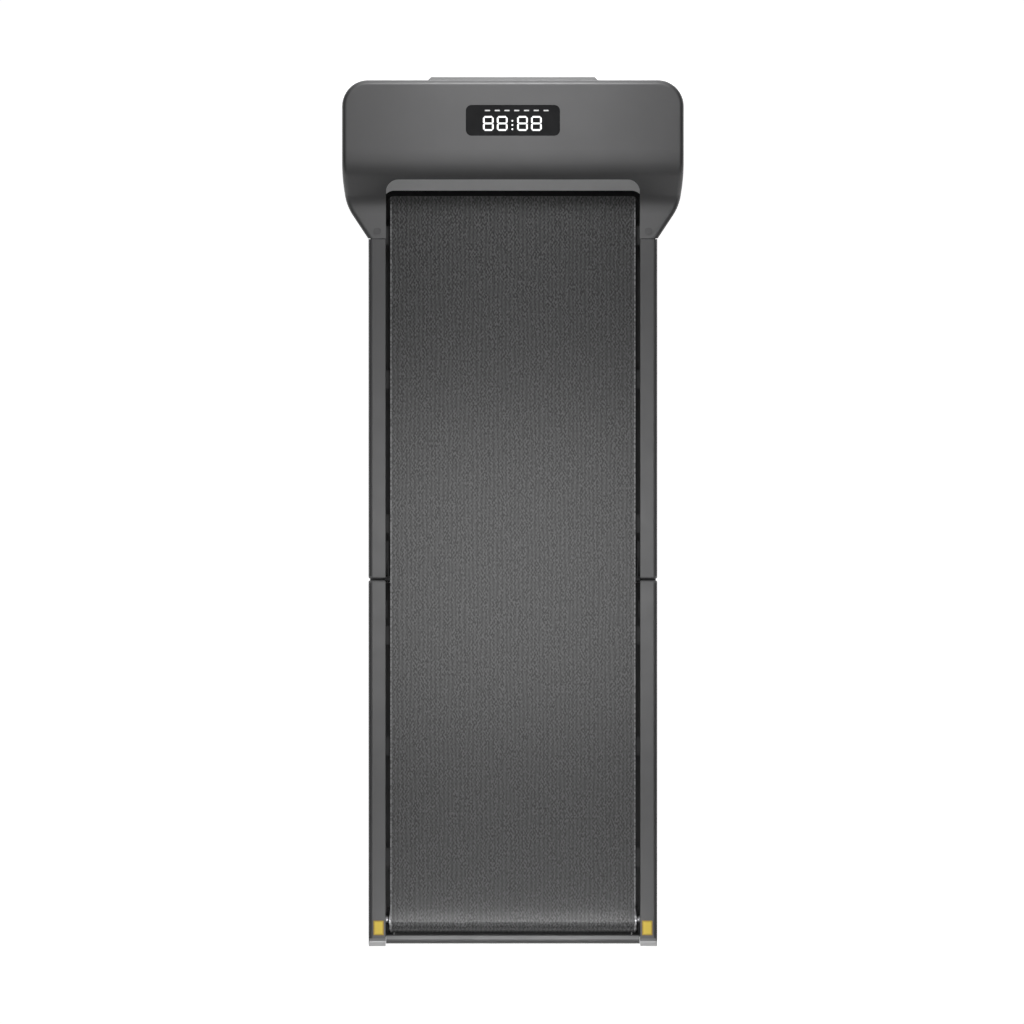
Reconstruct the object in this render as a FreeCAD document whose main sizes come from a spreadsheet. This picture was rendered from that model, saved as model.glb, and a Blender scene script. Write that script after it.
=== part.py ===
import FreeCAD, Part
import math
import os
from types import SimpleNamespace

import Sketcher

# Fold-in-half walking pad. Millimetres, +Y towards the head, +X to the right, floor at z = 0.
Vector = FreeCAD.Vector

doc = FreeCAD.newDocument("WalkingPad")
sheet = doc.addObject("Spreadsheet::Sheet", "Sizes")

# Driving sizes, each one cell of the sheet
SIZES = [
    # whole machine
    ("overall_length", 1400.0),
    ("rail_above_belt", 5.7),
    ("fold_clearance", 0.75),
    ("fold_seam", 3.0),
    # rails beside the belt
    ("belt_edge_gap", 1.1),
    ("rail_width", 28.0),
    ("rail_wall", 2.5),
    ("rail_lip", 14.0),
    ("rail_skirt_height", 12.0),
    ("rail_edge_round", 7.0),
    ("rail_inner_round", 1.2),
    ("plug_thickness", 4.0),
    ("plug_reach", 14.0),
    ("plug_corner_round", 2.5),
    ("plug_gap", 0.3),
    ("sill_reach", 3.0),
    # steel frame
    ("beam_clearance", 0.5),
    ("beam_headroom", 2.0),
    ("beam_bottom", 14.0),
    ("beam_wall", 2.0),
    ("beam_corner_round", 3.5),
    ("beam_past_roller", 24.0),
    ("edge_lip_reach", 6.0),
    ("edge_lip_gap", 1.7),
    ("cross_width", 30.0),
    ("cross_wall", 2.0),
    ("cross_lift", 3.0),
    ("cross_from_leaf", 13.0),
    ("cross_from_roller", 100.0),
    # deck
    ("deck_thickness", 12.0),
    ("deck_inset", 2.5),
    ("deck_bevel", 3.0),
    ("deck_fold_gap", 3.0),
    ("deck_roller_gap", 6.0),
    ("cushion_radius", 12.0),
    ("cushion_height", 5.0),
    ("cushion_spread", 300.0),
    # belt and rollers
    ("belt_width", 395.0),
    ("belt_thickness", 2.0),
    ("belt_gap", 0.3),
    ("belt_split", 0.3),
    ("roller_radius", 19.0),
    ("belt_lift", 11.7),
    ("roller_overhang", 3.0),
    ("roller_chamfer", 2.0),
    ("roller_tube_wall", 3.0),
    ("front_roller_tuck", 10.0),
    ("running_fit", 0.05),
    ("seat_fit", 0.02),
    ("front_shaft_radius", 6.0),
    ("front_bearing_radius", 14.0),
    ("front_flange_radius", 20.0),
    ("front_flange_thickness", 3.0),
    ("rear_axle_radius", 6.0),
    ("rear_bearing_width", 11.0),
    ("rear_axle_end_gap", 1.5),
    ("axle_slot_travel", 10.0),
    ("axle_slot_gap", 0.4),
    ("tension_bolt_radius", 3.0),
    ("tension_bolt_gap", 0.15),
    ("tension_bolt_reach", 14.0),
    ("tension_head_radius", 5.0),
    ("tension_head_height", 5.0),
    ("tension_plate_thickness", 3.0),
    # fold hinge
    ("leaf_thickness", 2.0),
    ("leaf_gap", 0.4),
    ("leaf_side_gap", 0.5),
    ("leaf_inner_end", 8.0),
    ("leaf_outer_end", 62.0),
    ("leaf_bottom", 18.0),
    ("leaf_lip_gap", 2.0),
    ("leaf_neck", 34.0),
    ("eye_radius", 5.0),
    ("hinge_pin_radius", 3.0),
    ("hinge_head_radius", 4.2),
    ("hinge_head_thickness", 1.0),
    # head
    ("panel_reach", 5.0),
    ("head_side_reach", 42.5),
    ("head_height", 120.0),
    ("head_depth", 160.0),
    ("arm_length", 95.0),
    ("head_corner_round", 42.0),
    ("head_edge_round", 8.0),
    ("hood_wall", 3.0),
    ("hood_bottom", 30.0),
    ("waist_from_hip", 48.0),
    ("waist_blend", 22.0),
    ("hip_from_tip", 52.0),
    ("hip_inset", 7.3),
    ("hip_blend", 18.0),
    ("arm_overhang", 0.8),
    ("arm_seam", 1.0),
    ("slope_run", 60.0),
    ("crest_blend", 24.6),
    ("slope_from_tip", 58.0),
    ("foot_blend", 17.0),
    ("mouth_corner_round", 20.0),
    ("guard_reach", 18.0),
    ("guard_thickness", 3.5),
    ("guard_belt_gap", 8.2),
    ("guard_tuck", 5.0),
    ("guard_edge_round", 1.5),
    ("guard_side_gap", 0.3),
    ("guard_horn", 5.5),
    ("guard_horn_run", 16.0),
    ("lip_reach", 9.0),
    ("lip_thickness", 4.0),
    ("lip_tuck", 8.0),
    ("lip_horn", 13.0),
    ("lip_horn_run", 15.0),
    # bumpers and plates that meet when the pad is folded
    ("bumper_from_tip", 12.0),
    ("plate_offset", 2.2),
    ("bumper_width", 12.0),
    ("bumper_depth", 10.0),
    ("bumper_round", 4.0),
    ("bumper_height", 0.9),
    ("bumper_stem_radius", 2.5),
    ("plate_width", 17.0),
    ("plate_depth", 24.0),
    ("plate_thickness", 0.4),
    ("plate_from_rear", 30.0),
    ("plate_round", 1.5),
    # display
    ("window_width", 151.0),
    ("window_depth", 49.0),
    ("window_round", 9.0),
    ("window_offset", 4.6),
    ("window_recess", 0.4),
    ("window_gap", 0.3),
    ("window_flange", 5.0),
    ("window_flange_thickness", 1.5),
    ("display_width", 104.0),
    ("display_depth", 32.0),
    ("display_thickness", 4.0),
    ("display_board_margin", 7.0),
    ("board_thickness", 1.6),
    # front panel with inlet and switch
    ("panel_width", 274.0),
    ("panel_bottom", 36.0),
    ("panel_frame_margin", 4.0),
    ("panel_end_slant", 5.0),
    ("panel_rim", 8.0),
    ("panel_gap", 0.3),
    ("panel_inner_reach", 2.0),
    ("inlet_from_end", 37.0),
    ("inlet_width", 28.0),
    ("inlet_height", 20.0),
    ("inlet_depth", 26.0),
    ("inlet_wall", 1.8),
    ("inlet_flange", 3.0),
    ("inlet_cavity_depth", 17.0),
    ("inlet_gap", 0.2),
    ("inlet_recess", 0.4),
    ("pin_width", 2.0),
    ("pin_height", 4.0),
    ("pin_length", 11.0),
    ("pin_pitch", 7.0),
    ("switch_from_inlet", 40.0),
    ("switch_width", 22.0),
    ("switch_height", 15.0),
    ("switch_depth", 20.0),
    ("switch_wall", 1.6),
    ("switch_recess", 1.6),
    ("rocker_gap", 0.4),
    ("rocker_pivot_depth", 6.0),
    ("rocker_pivot_radius", 1.0),
    ("rocker_back", 4.0),
    ("rocker_rise", 1.0),
    ("rocker_edge", 3.0),
    ("rocker_tilt", 7.0),
    ("vent_from_end", 23.0),
    ("vent_width", 5.0),
    ("vent_margin", 1.0),
    ("vent_pitch", 10.0),
    # base pan and feet
    ("pan_belt_gap", 3.7),
    ("pan_floor", 3.0),
    ("pan_wall", 3.0),
    ("pan_gap", 0.6),
    ("pan_chamfer", 22.0),
    ("boss_radius", 6.0),
    ("boss_inset", 12.0),
    ("head_foot_radius", 16.0),
    ("head_foot_spread", 300.0),
    ("head_foot_setback", 62.0),
    ("foot_inset", 1.0),
    ("foot_from_fold", 40.0),
    ("rear_foot_from_end", 90.0),
    # transport wheels
    ("wheel_radius", 18.0),
    ("wheel_width", 18.0),
    ("wheel_from_side", 70.0),
    ("wheel_front_gap", 2.0),
    ("wheel_lift", 3.0),
    ("wheel_edge", 2.5),
    ("wheel_rim", 5.0),
    ("wheel_hub", 3.5),
    ("wheel_dish", 2.0),
    ("wheel_draft", 0.5),
    ("wheel_side_gap", 1.5),
    ("wheel_slot_gap", 3.0),
    ("wheel_axle_radius", 4.0),
    ("ear_thickness", 4.0),
    ("ear_reach", 8.0),
    # motor and drive
    ("tray_thickness", 3.0),
    ("tray_from_belt", 3.7),
    ("tray_from_wheel", 8.0),
    ("tray_ear_reach", 22.0),
    ("motor_beam_gap", 4.0),
    ("motor_lift", 5.0),
    ("motor_radius", 30.0),
    ("motor_length", 150.0),
    ("motor_end_step", 4.0),
    ("motor_chamfer", 3.0),
    ("motor_collar_radius", 14.0),
    ("motor_shaft_radius", 5.0),
    ("motor_pulley_gap", 6.0),
    ("fan_gap", 4.0),
    ("fan_thickness", 16.0),
    ("fan_radius", 27.0),
    ("fan_web", 4.0),
    ("fan_rim", 6.0),
    ("fan_hub", 5.0),
    ("cradle_base", 4.0),
    ("cradle_rib", 6.0),
    ("cradle_inset", 20.0),
    ("cradle_length", 80.0),
    ("cradle_half_depth", 21.0),
    ("cradle_below_axis", 8.0),
    ("pulley_gap", 8.0),
    ("pulley_width", 16.0),
    ("pulley_flange", 2.0),
    ("pulley_groove", 2.0),
    ("roller_pulley_radius", 17.0),
    ("motor_pulley_radius", 8.5),
    ("drive_belt_gap", 0.3),
    ("drive_belt_thickness", 2.5),
    # controller
    ("controller_inset", 24.5),
    ("controller_margin", 7.0),
    ("controller_lift", 9.0),
    ("standoff_radius", 3.0),
    ("standoff_inset", 6.0),
    ("sink_width", 64.0),
    ("sink_margin", 8.0),
    ("sink_base", 5.0),
    ("sink_fin_height", 24.0),
    ("sink_fin", 2.0),
    ("sink_inset", 14.0),
    ("capacitor_radius", 10.0),
    ("capacitor_height", 30.0),
    ("capacitor_gap", 6.0),
    ("capacitor_end_margin", 10.0),
    # rear end
    ("cap_depth", 13.0),
    ("cap_round", 9.0),
    ("cap_edge_round", 1.5),
    ("cap_hole_radius", 6.5),
    ("rear_guard_setback", 4.5),
    ("rear_guard_depth", 14.5),
    ("rear_guard_belt_gap", 3.7),
    ("rear_guard_bottom", 14.0),
    ("rear_guard_top", 38.0),
    ("rear_guard_round", 4.0),
    ("rear_guard_gap", 0.3),
    ("rear_lip_reach", 8.0),
    ("rear_lip_wall", 4.0),
]


class Length:
    """A length: the expression that ties it to the sheet, and its value now."""

    def __init__(self, text, value):
        self.text = text
        self.value = value

    def __add__(self, other):
        other = as_length(other)
        return Length(f"({self.text} + {other.text})", self.value + other.value)

    def __sub__(self, other):
        other = as_length(other)
        return Length(f"({self.text} - {other.text})", self.value - other.value)

    def __mul__(self, other):
        other = as_length(other)
        return Length(f"({self.text} * {other.text})", self.value * other.value)

    def __truediv__(self, other):
        other = as_length(other)
        return Length(f"({self.text} / {other.text})", self.value / other.value)

    def __neg__(self):
        return Length(f"(0 - {self.text})", -self.value)

    def root(self):
        return Length(f"sqrt({self.text})", math.sqrt(self.value))


def as_length(number):
    if isinstance(number, Length):
        return number
    if number < 0:
        return Length(f"(0 - {-number!r})", float(number))
    return Length(repr(float(number)), float(number))


dim = SimpleNamespace()
for row, (alias, number) in enumerate(SIZES, start=1):
    sheet.set(f"A{row}", alias)
    sheet.set(f"B{row}", str(number))
    sheet.setAlias(f"B{row}", alias)
    setattr(dim, alias, Length(f"Sizes.{alias}", number))
doc.recompute()


# Drawing helpers

def bind(item, path, length):
    item.setExpression(path, as_length(length).text)


def new_body(name):
    return doc.addObject("PartDesign::Body", name)


def new_sketch(body, role, along=0.0, right=0.0, up=0.0):
    """A sketch on one of the body's planes, moved along its normal and within the plane."""
    sketch = body.newObject("Sketcher::SketchObject", f"{body.Name}_sketch")
    plane = [item for item in body.Origin.OriginFeatures if item.Role == role][0]
    sketch.AttachmentSupport = [(plane, "")]
    sketch.MapMode = "FlatFace"
    bind(sketch, "AttachmentOffset.Base.x", right)
    bind(sketch, "AttachmentOffset.Base.y", up)
    bind(sketch, "AttachmentOffset.Base.z", along)
    return sketch


def tie_point(sketch, geometry, point, x, y):
    """Place a sketch point from the sketch's origin."""
    for kind, length in (("DistanceX", x), ("DistanceY", y)):
        length = as_length(length)
        index = sketch.addConstraint(Sketcher.Constraint(kind, -1, 1, geometry, point, length.value))
        bind(sketch, f"Constraints[{index}]", length)


def tie_radius(sketch, geometry, radius):
    radius = as_length(radius)
    index = sketch.addConstraint(Sketcher.Constraint("Radius", geometry, radius.value))
    bind(sketch, f"Constraints[{index}]", radius)


def corner_arc(before, corner, after, amount, kind):
    """Tangent points, centre, radius and turn of the arc that rounds a corner."""
    to_before = (before - corner).normalize()
    to_after = (after - corner).normalize()
    half = math.acos(max(-1.0, min(1.0, to_before.dot(to_after)))) / 2
    reach = amount if kind == "blend" else amount / math.tan(half)
    radius = reach * math.tan(half)
    middle = (to_before + to_after).normalize()
    centre = corner + middle * (radius / math.sin(half))
    turn = to_after.cross(to_before).z
    return corner + to_before * reach, corner + to_after * reach, centre, radius, turn


def draw_outline(sketch, corners):
    """A closed outline. A corner is (x, y), or (x, y, amount, kind): kind "radius" rounds it with that
    radius, kind "blend" starts the arc that far from the corner."""
    points = []
    for corner in corners:
        points.append(Vector(as_length(corner[0]).value, as_length(corner[1]).value, 0))
    count = len(corners)
    arcs = {}
    starts = list(points)
    ends = list(points)
    for i, corner in enumerate(corners):
        if len(corner) == 4:
            arc = corner_arc(points[i - 1], points[i], points[(i + 1) % count],
                             as_length(corner[2]).value, corner[3])
            arcs[i] = arc
            ends[i] = arc[0]
            starts[i] = arc[1]
    first = sketch.GeometryCount
    for i in range(count):
        sketch.addGeometry(Part.LineSegment(starts[i], ends[(i + 1) % count]), False)
    for i, corner in enumerate(corners):
        here = first + i
        previous = first + (i - 1) % count
        if i not in arcs:
            sketch.addConstraint(Sketcher.Constraint("Coincident", previous, 2, here, 1))
            tie_point(sketch, here, 1, corner[0], corner[1])
            continue
        entry, leave, centre, radius, turn = arcs[i]
        angle_in = math.atan2(entry.y - centre.y, entry.x - centre.x)
        angle_out = math.atan2(leave.y - centre.y, leave.x - centre.x)
        left = turn > 0
        circle = Part.Circle(centre, Vector(0, 0, 1), radius)
        if left:
            arc = sketch.addGeometry(Part.ArcOfCircle(circle, angle_in, angle_out), False)
        else:
            arc = sketch.addGeometry(Part.ArcOfCircle(circle, angle_out, angle_in), False)
        entry_end = 1 if left else 2
        mark = sketch.addGeometry(Part.Point(points[i]), True)
        sketch.addConstraint(Sketcher.Constraint("Tangent", previous, 2, arc, entry_end))
        sketch.addConstraint(Sketcher.Constraint("Tangent", here, 1, arc, 3 - entry_end))
        sketch.addConstraint(Sketcher.Constraint("PointOnObject", mark, 1, previous))
        sketch.addConstraint(Sketcher.Constraint("PointOnObject", mark, 1, here))
        tie_point(sketch, mark, 1, corner[0], corner[1])
        amount = as_length(corner[2])
        if corner[3] == "radius":
            tie_radius(sketch, arc, amount)
        else:
            index = sketch.addConstraint(
                Sketcher.Constraint("Distance", mark, 1, arc, entry_end, amount.value))
            bind(sketch, f"Constraints[{index}]", amount)


def draw_circle(sketch, x, y, radius):
    centre = Vector(as_length(x).value, as_length(y).value, 0)
    circle = sketch.addGeometry(Part.Circle(centre, Vector(0, 0, 1), as_length(radius).value), False)
    tie_point(sketch, circle, 3, x, y)
    tie_radius(sketch, circle, radius)


def draw_pulley_loop(sketch, centre_a, radius_a, centre_b, radius_b):
    """A closed loop round two circles, with its straight runs tangent to both."""
    a = Vector(centre_a[0].value, centre_a[1].value, 0)
    b = Vector(centre_b[0].value, centre_b[1].value, 0)
    heading = math.atan2(b.y - a.y, b.x - a.x)
    lean = math.acos((radius_a.value - radius_b.value) / a.distanceToPoint(b))
    up, down = heading + lean, heading - lean
    z_axis = Vector(0, 0, 1)

    def on_circle(centre, radius, angle):
        return centre + Vector(math.cos(angle), math.sin(angle), 0) * radius.value

    arc_a = sketch.addGeometry(Part.ArcOfCircle(Part.Circle(a, z_axis, radius_a.value), up, down + 2 * math.pi))
    arc_b = sketch.addGeometry(Part.ArcOfCircle(Part.Circle(b, z_axis, radius_b.value), down, up))
    upper = sketch.addGeometry(Part.LineSegment(on_circle(a, radius_a, up), on_circle(b, radius_b, up)))
    lower = sketch.addGeometry(Part.LineSegment(on_circle(a, radius_a, down), on_circle(b, radius_b, down)))
    sketch.addConstraint(Sketcher.Constraint("Tangent", upper, 1, arc_a, 1))
    sketch.addConstraint(Sketcher.Constraint("Tangent", upper, 2, arc_b, 2))
    sketch.addConstraint(Sketcher.Constraint("Tangent", lower, 1, arc_a, 2))
    sketch.addConstraint(Sketcher.Constraint("Tangent", lower, 2, arc_b, 1))
    tie_point(sketch, arc_a, 3, *centre_a)
    tie_point(sketch, arc_b, 3, *centre_b)
    tie_radius(sketch, arc_a, radius_a)
    tie_radius(sketch, arc_b, radius_b)


def draw_belt_band(sketch, end_y, centre_y, centre_z, inner, outer):
    """A belt half seen from the side: two runs that end at end_y, joined round a roller."""
    forward = centre_y.value > end_y.value
    runs = []
    for radius in (outer, inner):
        centre = Vector(centre_y.value, centre_z.value, 0)
        circle = Part.Circle(centre, Vector(0, 0, 1), radius.value)
        low_angle = -math.pi / 2 if forward else math.pi / 2
        arc = sketch.addGeometry(Part.ArcOfCircle(circle, low_angle, low_angle + math.pi), False)
        tie_point(sketch, arc, 3, centre_y, centre_z)
        tie_radius(sketch, arc, radius)
        ends = []
        for side in (1, -1):
            height = centre_z.value + side * radius.value
            line = sketch.addGeometry(
                Part.LineSegment(Vector(end_y.value, height, 0), Vector(centre_y.value, height, 0)), False)
            arc_end = 2 if (side > 0) == forward else 1
            sketch.addConstraint(Sketcher.Constraint("Tangent", line, 2, arc, arc_end))
            sketch.addConstraint(Sketcher.Constraint("Horizontal", line))
            index = sketch.addConstraint(Sketcher.Constraint("DistanceX", -1, 1, line, 1, end_y.value))
            bind(sketch, f"Constraints[{index}]", end_y)
            ends.append(line)
        runs.append(ends)
    for outer_line, inner_line in zip(runs[0], runs[1]):
        start = sketch.getPoint(outer_line, 1)
        finish = sketch.getPoint(inner_line, 1)
        end_line = sketch.addGeometry(Part.LineSegment(start, finish), False)
        sketch.addConstraint(Sketcher.Constraint("Coincident", end_line, 1, outer_line, 1))
        sketch.addConstraint(Sketcher.Constraint("Coincident", end_line, 2, inner_line, 1))


def add_pad(body, sketch, length):
    pad = body.newObject("PartDesign::Pad", f"{body.Name}_pad")
    pad.Profile = sketch
    bind(pad, "Length", length)
    doc.recompute()
    return pad


def add_pocket(body, sketch, length):
    """Cut against the sketch's normal."""
    pocket = body.newObject("PartDesign::Pocket", f"{body.Name}_pocket")
    pocket.Profile = sketch
    bind(pocket, "Length", length)
    before = body.Shape.Volume
    doc.recompute()
    if body.Shape.Volume >= before:
        raise RuntimeError(f"{body.Name}: the pocket removes nothing")
    return pocket


def add_fillet(body, base, edges, radius):
    fillet = body.newObject("PartDesign::Fillet", f"{body.Name}_fillet")
    fillet.Base = (base, edges)
    bind(fillet, "Radius", radius)
    doc.recompute()
    return fillet


def prism(name, role, along, length, *outlines):
    """A body padded from one or more outlines along the plane's normal."""
    body = new_body(name)
    sketch = new_sketch(body, role, along)
    for corners in outlines:
        draw_outline(sketch, corners)
    add_pad(body, sketch, length)
    return body


def prism_in_y(name, rear, front, *outlines):
    """A body with a constant section in X and Z between two Y stations."""
    return prism(name, "XZ_Plane", -as_length(front), as_length(front) - rear, *outlines)


def turned(name, centre_y, centre_z, profile):
    """A body turned about an axis along X, from (x, radius) points."""
    body = new_body(name)
    sketch = new_sketch(body, "XZ_Plane", along=-centre_y, up=centre_z)
    draw_outline(sketch, profile)
    revolution = body.newObject("PartDesign::Revolution", f"{name}_turn")
    revolution.Profile = sketch
    revolution.ReferenceAxis = (sketch, ["H_Axis"])
    revolution.Angle = 360.0
    doc.recompute()
    return body


def rectangle(x_low, y_low, x_high, y_high, radius=None):
    corners = [(x_low, y_low), (x_high, y_low), (x_high, y_high), (x_low, y_high)]
    if radius is None:
        return corners
    return [(x, y, radius, "radius") for x, y in corners]


def box(name, x, y, z, length, width, height):
    item = doc.addObject("Part::Box", name)
    for path, size in (("Length", length), ("Width", width), ("Height", height)):
        bind(item, path, size)
    for path, place in (("x", x), ("y", y), ("z", z)):
        bind(item, f"Placement.Base.{path}", place)
    return item


TURNS = {
    "x": FreeCAD.Rotation(Vector(0, 1, 0), 90),
    "y": FreeCAD.Rotation(Vector(1, 0, 0), -90),
    "z": FreeCAD.Rotation(),
}


def rod(name, axis, x, y, z, radius, length):
    """A round bar that starts at the point and runs along +X, +Y or +Z."""
    item = doc.addObject("Part::Cylinder", name)
    item.Placement = FreeCAD.Placement(Vector(0, 0, 0), TURNS[axis])
    bind(item, "Radius", radius)
    bind(item, "Height", length)
    for path, place in (("x", x), ("y", y), ("z", z)):
        bind(item, f"Placement.Base.{path}", place)
    return item


def fuse(name, *members):
    item = doc.addObject("Part::MultiFuse", name)
    item.Shapes = list(members)
    item.Refine = True
    return item


def cut(name, base, *tools):
    item = doc.addObject("Part::Cut", name)
    item.Base = base
    item.Tool = tools[0] if len(tools) == 1 else fuse(f"{name}_tools", *tools)
    item.Refine = True
    return item


def mirror(name, source):
    """The same piece on the other side of the machine."""
    item = doc.addObject("Part::Mirroring", name)
    item.Source = source
    item.Base = Vector(0, 0, 0)
    item.Normal = Vector(1, 0, 0)
    return item


def mirror_at_fold(name, source):
    """The same piece on the other side of the fold line."""
    item = doc.addObject("Part::Mirroring", name)
    item.Source = source
    item.Normal = Vector(0, 1, 0)
    bind(item, "Base.y", fold_y)
    return item


def group(name, *members):
    item = doc.addObject("Part::Compound", name)
    item.Links = list(members)
    return item


nodes = []


def node(label, item):
    item.Label = label
    nodes.append(item)
    return item


def node_pair(label, right):
    """A piece on the right rail and its twin on the left, as two nodes."""
    node(f"{label}_right", right)
    node(f"{label}_left", mirror(f"{label}_twin", right))


def node_twins(label, right):
    """A small piece and its twin on the other side, as one node of two solids."""
    return node(label, group(f"{label}_both", right, mirror(f"{label}_twin", right)))


# Stations and levels that several pieces share
half_length = dim.overall_length / 2
hood_front = half_length - dim.panel_reach
mouth_y = hood_front - dim.head_depth
arm_tip = mouth_y - dim.arm_length
bumper_y = arm_tip + dim.bumper_from_tip
plate_y = dim.plate_from_rear - half_length

# The fold lies where the rear plates swing over onto the bumpers
fold_y = (bumper_y + plate_y) / 2
front_end = fold_y + dim.fold_seam / 2
rear_end = fold_y - dim.fold_seam / 2

# The channel beside the belt is as wide as the hinge in it
hinge_stack = dim.hinge_head_thickness + dim.leaf_thickness * 2 + dim.leaf_gap + dim.leaf_side_gap
rail_inner = dim.belt_width / 2 + dim.belt_edge_gap + hinge_stack
rail_outer = rail_inner + dim.rail_width
lip_inner_face = rail_inner + dim.rail_wall
beam_inner = lip_inner_face + dim.beam_clearance
beam_outer = rail_outer - dim.rail_wall - dim.beam_clearance
beam_middle = (beam_inner + beam_outer) / 2

belt_inner = dim.roller_radius + dim.belt_gap
belt_outer = belt_inner + dim.belt_thickness
roller_z = dim.belt_lift + belt_outer
belt_top = roller_z + belt_outer
deck_height = belt_top + dim.rail_above_belt
fold_z = deck_height + dim.fold_clearance
beam_top = deck_height - dim.rail_wall - dim.beam_headroom
lip_bottom = deck_height - dim.rail_lip
front_roller_y = mouth_y + dim.front_roller_tuck
rear_guard_back = dim.rear_guard_setback - half_length
rear_guard_front = rear_guard_back + dim.rear_guard_depth
rear_roller_y = rear_guard_front + dim.rear_guard_belt_gap + belt_outer
deck_top = roller_z + dim.roller_radius
deck_bottom = deck_top - dim.deck_thickness
cross_bottom = roller_z - dim.roller_radius + dim.cross_lift
cross_top = deck_bottom - dim.cushion_height
cross_height = cross_top - cross_bottom
roller_end = dim.belt_width / 2 + dim.roller_overhang
head_half = rail_outer + dim.head_side_reach
guard_bottom = belt_top + dim.guard_belt_gap
guard_top = guard_bottom + dim.guard_thickness
pan_floor_top = dim.belt_lift - dim.pan_belt_gap
pan_bottom = pan_floor_top - dim.pan_floor
foot_radius = (beam_outer - beam_inner) / 2 - dim.beam_wall - dim.foot_inset
edge_lip_tip = dim.belt_width / 2 - dim.edge_lip_reach
edge_lip_top = dim.belt_lift - dim.edge_lip_gap
edge_lip_bottom = edge_lip_top - dim.beam_wall


# Steel side beams: box tubes inside the rails, with a lip that closes the channel under the belt edge
def beam(name, rear, front):
    outside = rectangle(beam_inner, dim.beam_bottom, beam_outer, beam_top, dim.beam_corner_round)
    inside = rectangle(
        beam_inner + dim.beam_wall, dim.beam_bottom + dim.beam_wall,
        beam_outer - dim.beam_wall, beam_top - dim.beam_wall,
        dim.beam_corner_round - dim.beam_wall)
    return prism_in_y(name, rear, front, outside, inside)


def add_edge_lip(body, rear, front):
    web_top = dim.beam_bottom + dim.beam_corner_round
    lip = new_sketch(body, "XZ_Plane", along=-front)
    draw_outline(lip, [
        (edge_lip_tip, edge_lip_bottom),
        (beam_inner + dim.beam_wall, edge_lip_bottom),
        (beam_inner + dim.beam_wall, web_top),
        (beam_inner, web_top),
        (beam_inner, edge_lip_top),
        (edge_lip_tip, edge_lip_top),
    ])
    add_pad(body, lip, front - rear)


front_beam_end = front_roller_y + dim.beam_past_roller
front_beam = beam("front_beam_tube", front_end + dim.plug_thickness, front_beam_end)
add_edge_lip(front_beam, front_end + dim.plug_thickness, arm_tip - dim.arm_seam)
bearing_bore = new_sketch(front_beam, "YZ_Plane", along=beam_outer + 1)
draw_circle(bearing_bore, front_roller_y, roller_z, dim.front_bearing_radius + dim.seat_fit)
add_pocket(front_beam, bearing_bore, beam_outer - beam_inner + 2)
node_pair("front_beam", front_beam)

cap_front = dim.cap_depth - half_length
rear_beam_end = cap_front + dim.tension_plate_thickness
rear_beam = beam("rear_beam_tube", rear_beam_end, rear_end - dim.plug_thickness)
add_edge_lip(rear_beam, rear_beam_end, rear_end - dim.plug_thickness)
axle_slot = new_sketch(rear_beam, "YZ_Plane", along=beam_inner + dim.beam_wall + 1)
slot_half = dim.rear_axle_radius + dim.axle_slot_gap
draw_outline(axle_slot, rectangle(
    rear_roller_y - slot_half - dim.axle_slot_travel / 2, roller_z - slot_half,
    rear_roller_y + slot_half + dim.axle_slot_travel / 2, roller_z + slot_half,
    slot_half - 1))
add_pocket(rear_beam, axle_slot, dim.beam_wall + 2)
node_pair("rear_beam", rear_beam)


# Cross members: tubes between the beams that run between the two belt runs
cross_from_fold = dim.leaf_outer_end + dim.cross_from_leaf + dim.cross_width / 2


def cross_stations(first, last):
    return [first, (first + last) / 2, last]


front_stations = cross_stations(fold_y + cross_from_fold, front_roller_y - dim.cross_from_roller)
rear_stations = cross_stations(fold_y - cross_from_fold, rear_roller_y + dim.cross_from_roller)


def cross_members(name, stations):
    tubes = []
    for i, middle in enumerate(stations):
        tube = box(f"{name}_bar_{i}", -beam_inner, middle - dim.cross_width / 2, cross_bottom,
                   beam_inner * 2, dim.cross_width, cross_height)
        bore = box(f"{name}_bore_{i}", -beam_inner - 1, middle - dim.cross_width / 2 + dim.cross_wall,
                   cross_bottom + dim.cross_wall, beam_inner * 2 + 2,
                   dim.cross_width - dim.cross_wall * 2, cross_height - dim.cross_wall * 2)
        tubes.append(cut(f"{name}_tube_{i}", tube, bore))
    return group(f"{name}_set", *tubes)


node("front_cross_members", cross_members("front_cross", front_stations))
node("rear_cross_members", cross_members("rear_cross", rear_stations))


# Deck boards with bevelled ends, on rubber cushions
deck_half = dim.belt_width / 2 - dim.deck_inset


def deck_board(name, rear, front):
    section = [
        (rear, deck_bottom), (front, deck_bottom),
        (front, deck_top - dim.deck_bevel), (front - dim.deck_bevel, deck_top),
        (rear + dim.deck_bevel, deck_top), (rear, deck_top - dim.deck_bevel),
    ]
    return prism(name, "YZ_Plane", -deck_half, deck_half * 2, section)


node("front_deck_board", deck_board(
    "front_deck", fold_y + dim.deck_fold_gap,
    front_roller_y - dim.roller_radius - dim.deck_roller_gap))
node("rear_deck_board", deck_board(
    "rear_deck", rear_roller_y + dim.roller_radius + dim.deck_roller_gap,
    fold_y - dim.deck_fold_gap))


def deck_cushions(name, stations):
    pads = []
    for i, middle in enumerate(stations):
        for side in (-1, 1):
            pads.append(rod(f"{name}_{i}_{'left' if side < 0 else 'right'}", "z",
                            dim.cushion_spread / 2 * side, middle, cross_top,
                            dim.cushion_radius, dim.cushion_height))
    return group(f"{name}_set", *pads)


node("front_deck_cushions", deck_cushions("front_cushion", front_stations))
node("rear_deck_cushions", deck_cushions("rear_cushion", rear_stations))


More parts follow.
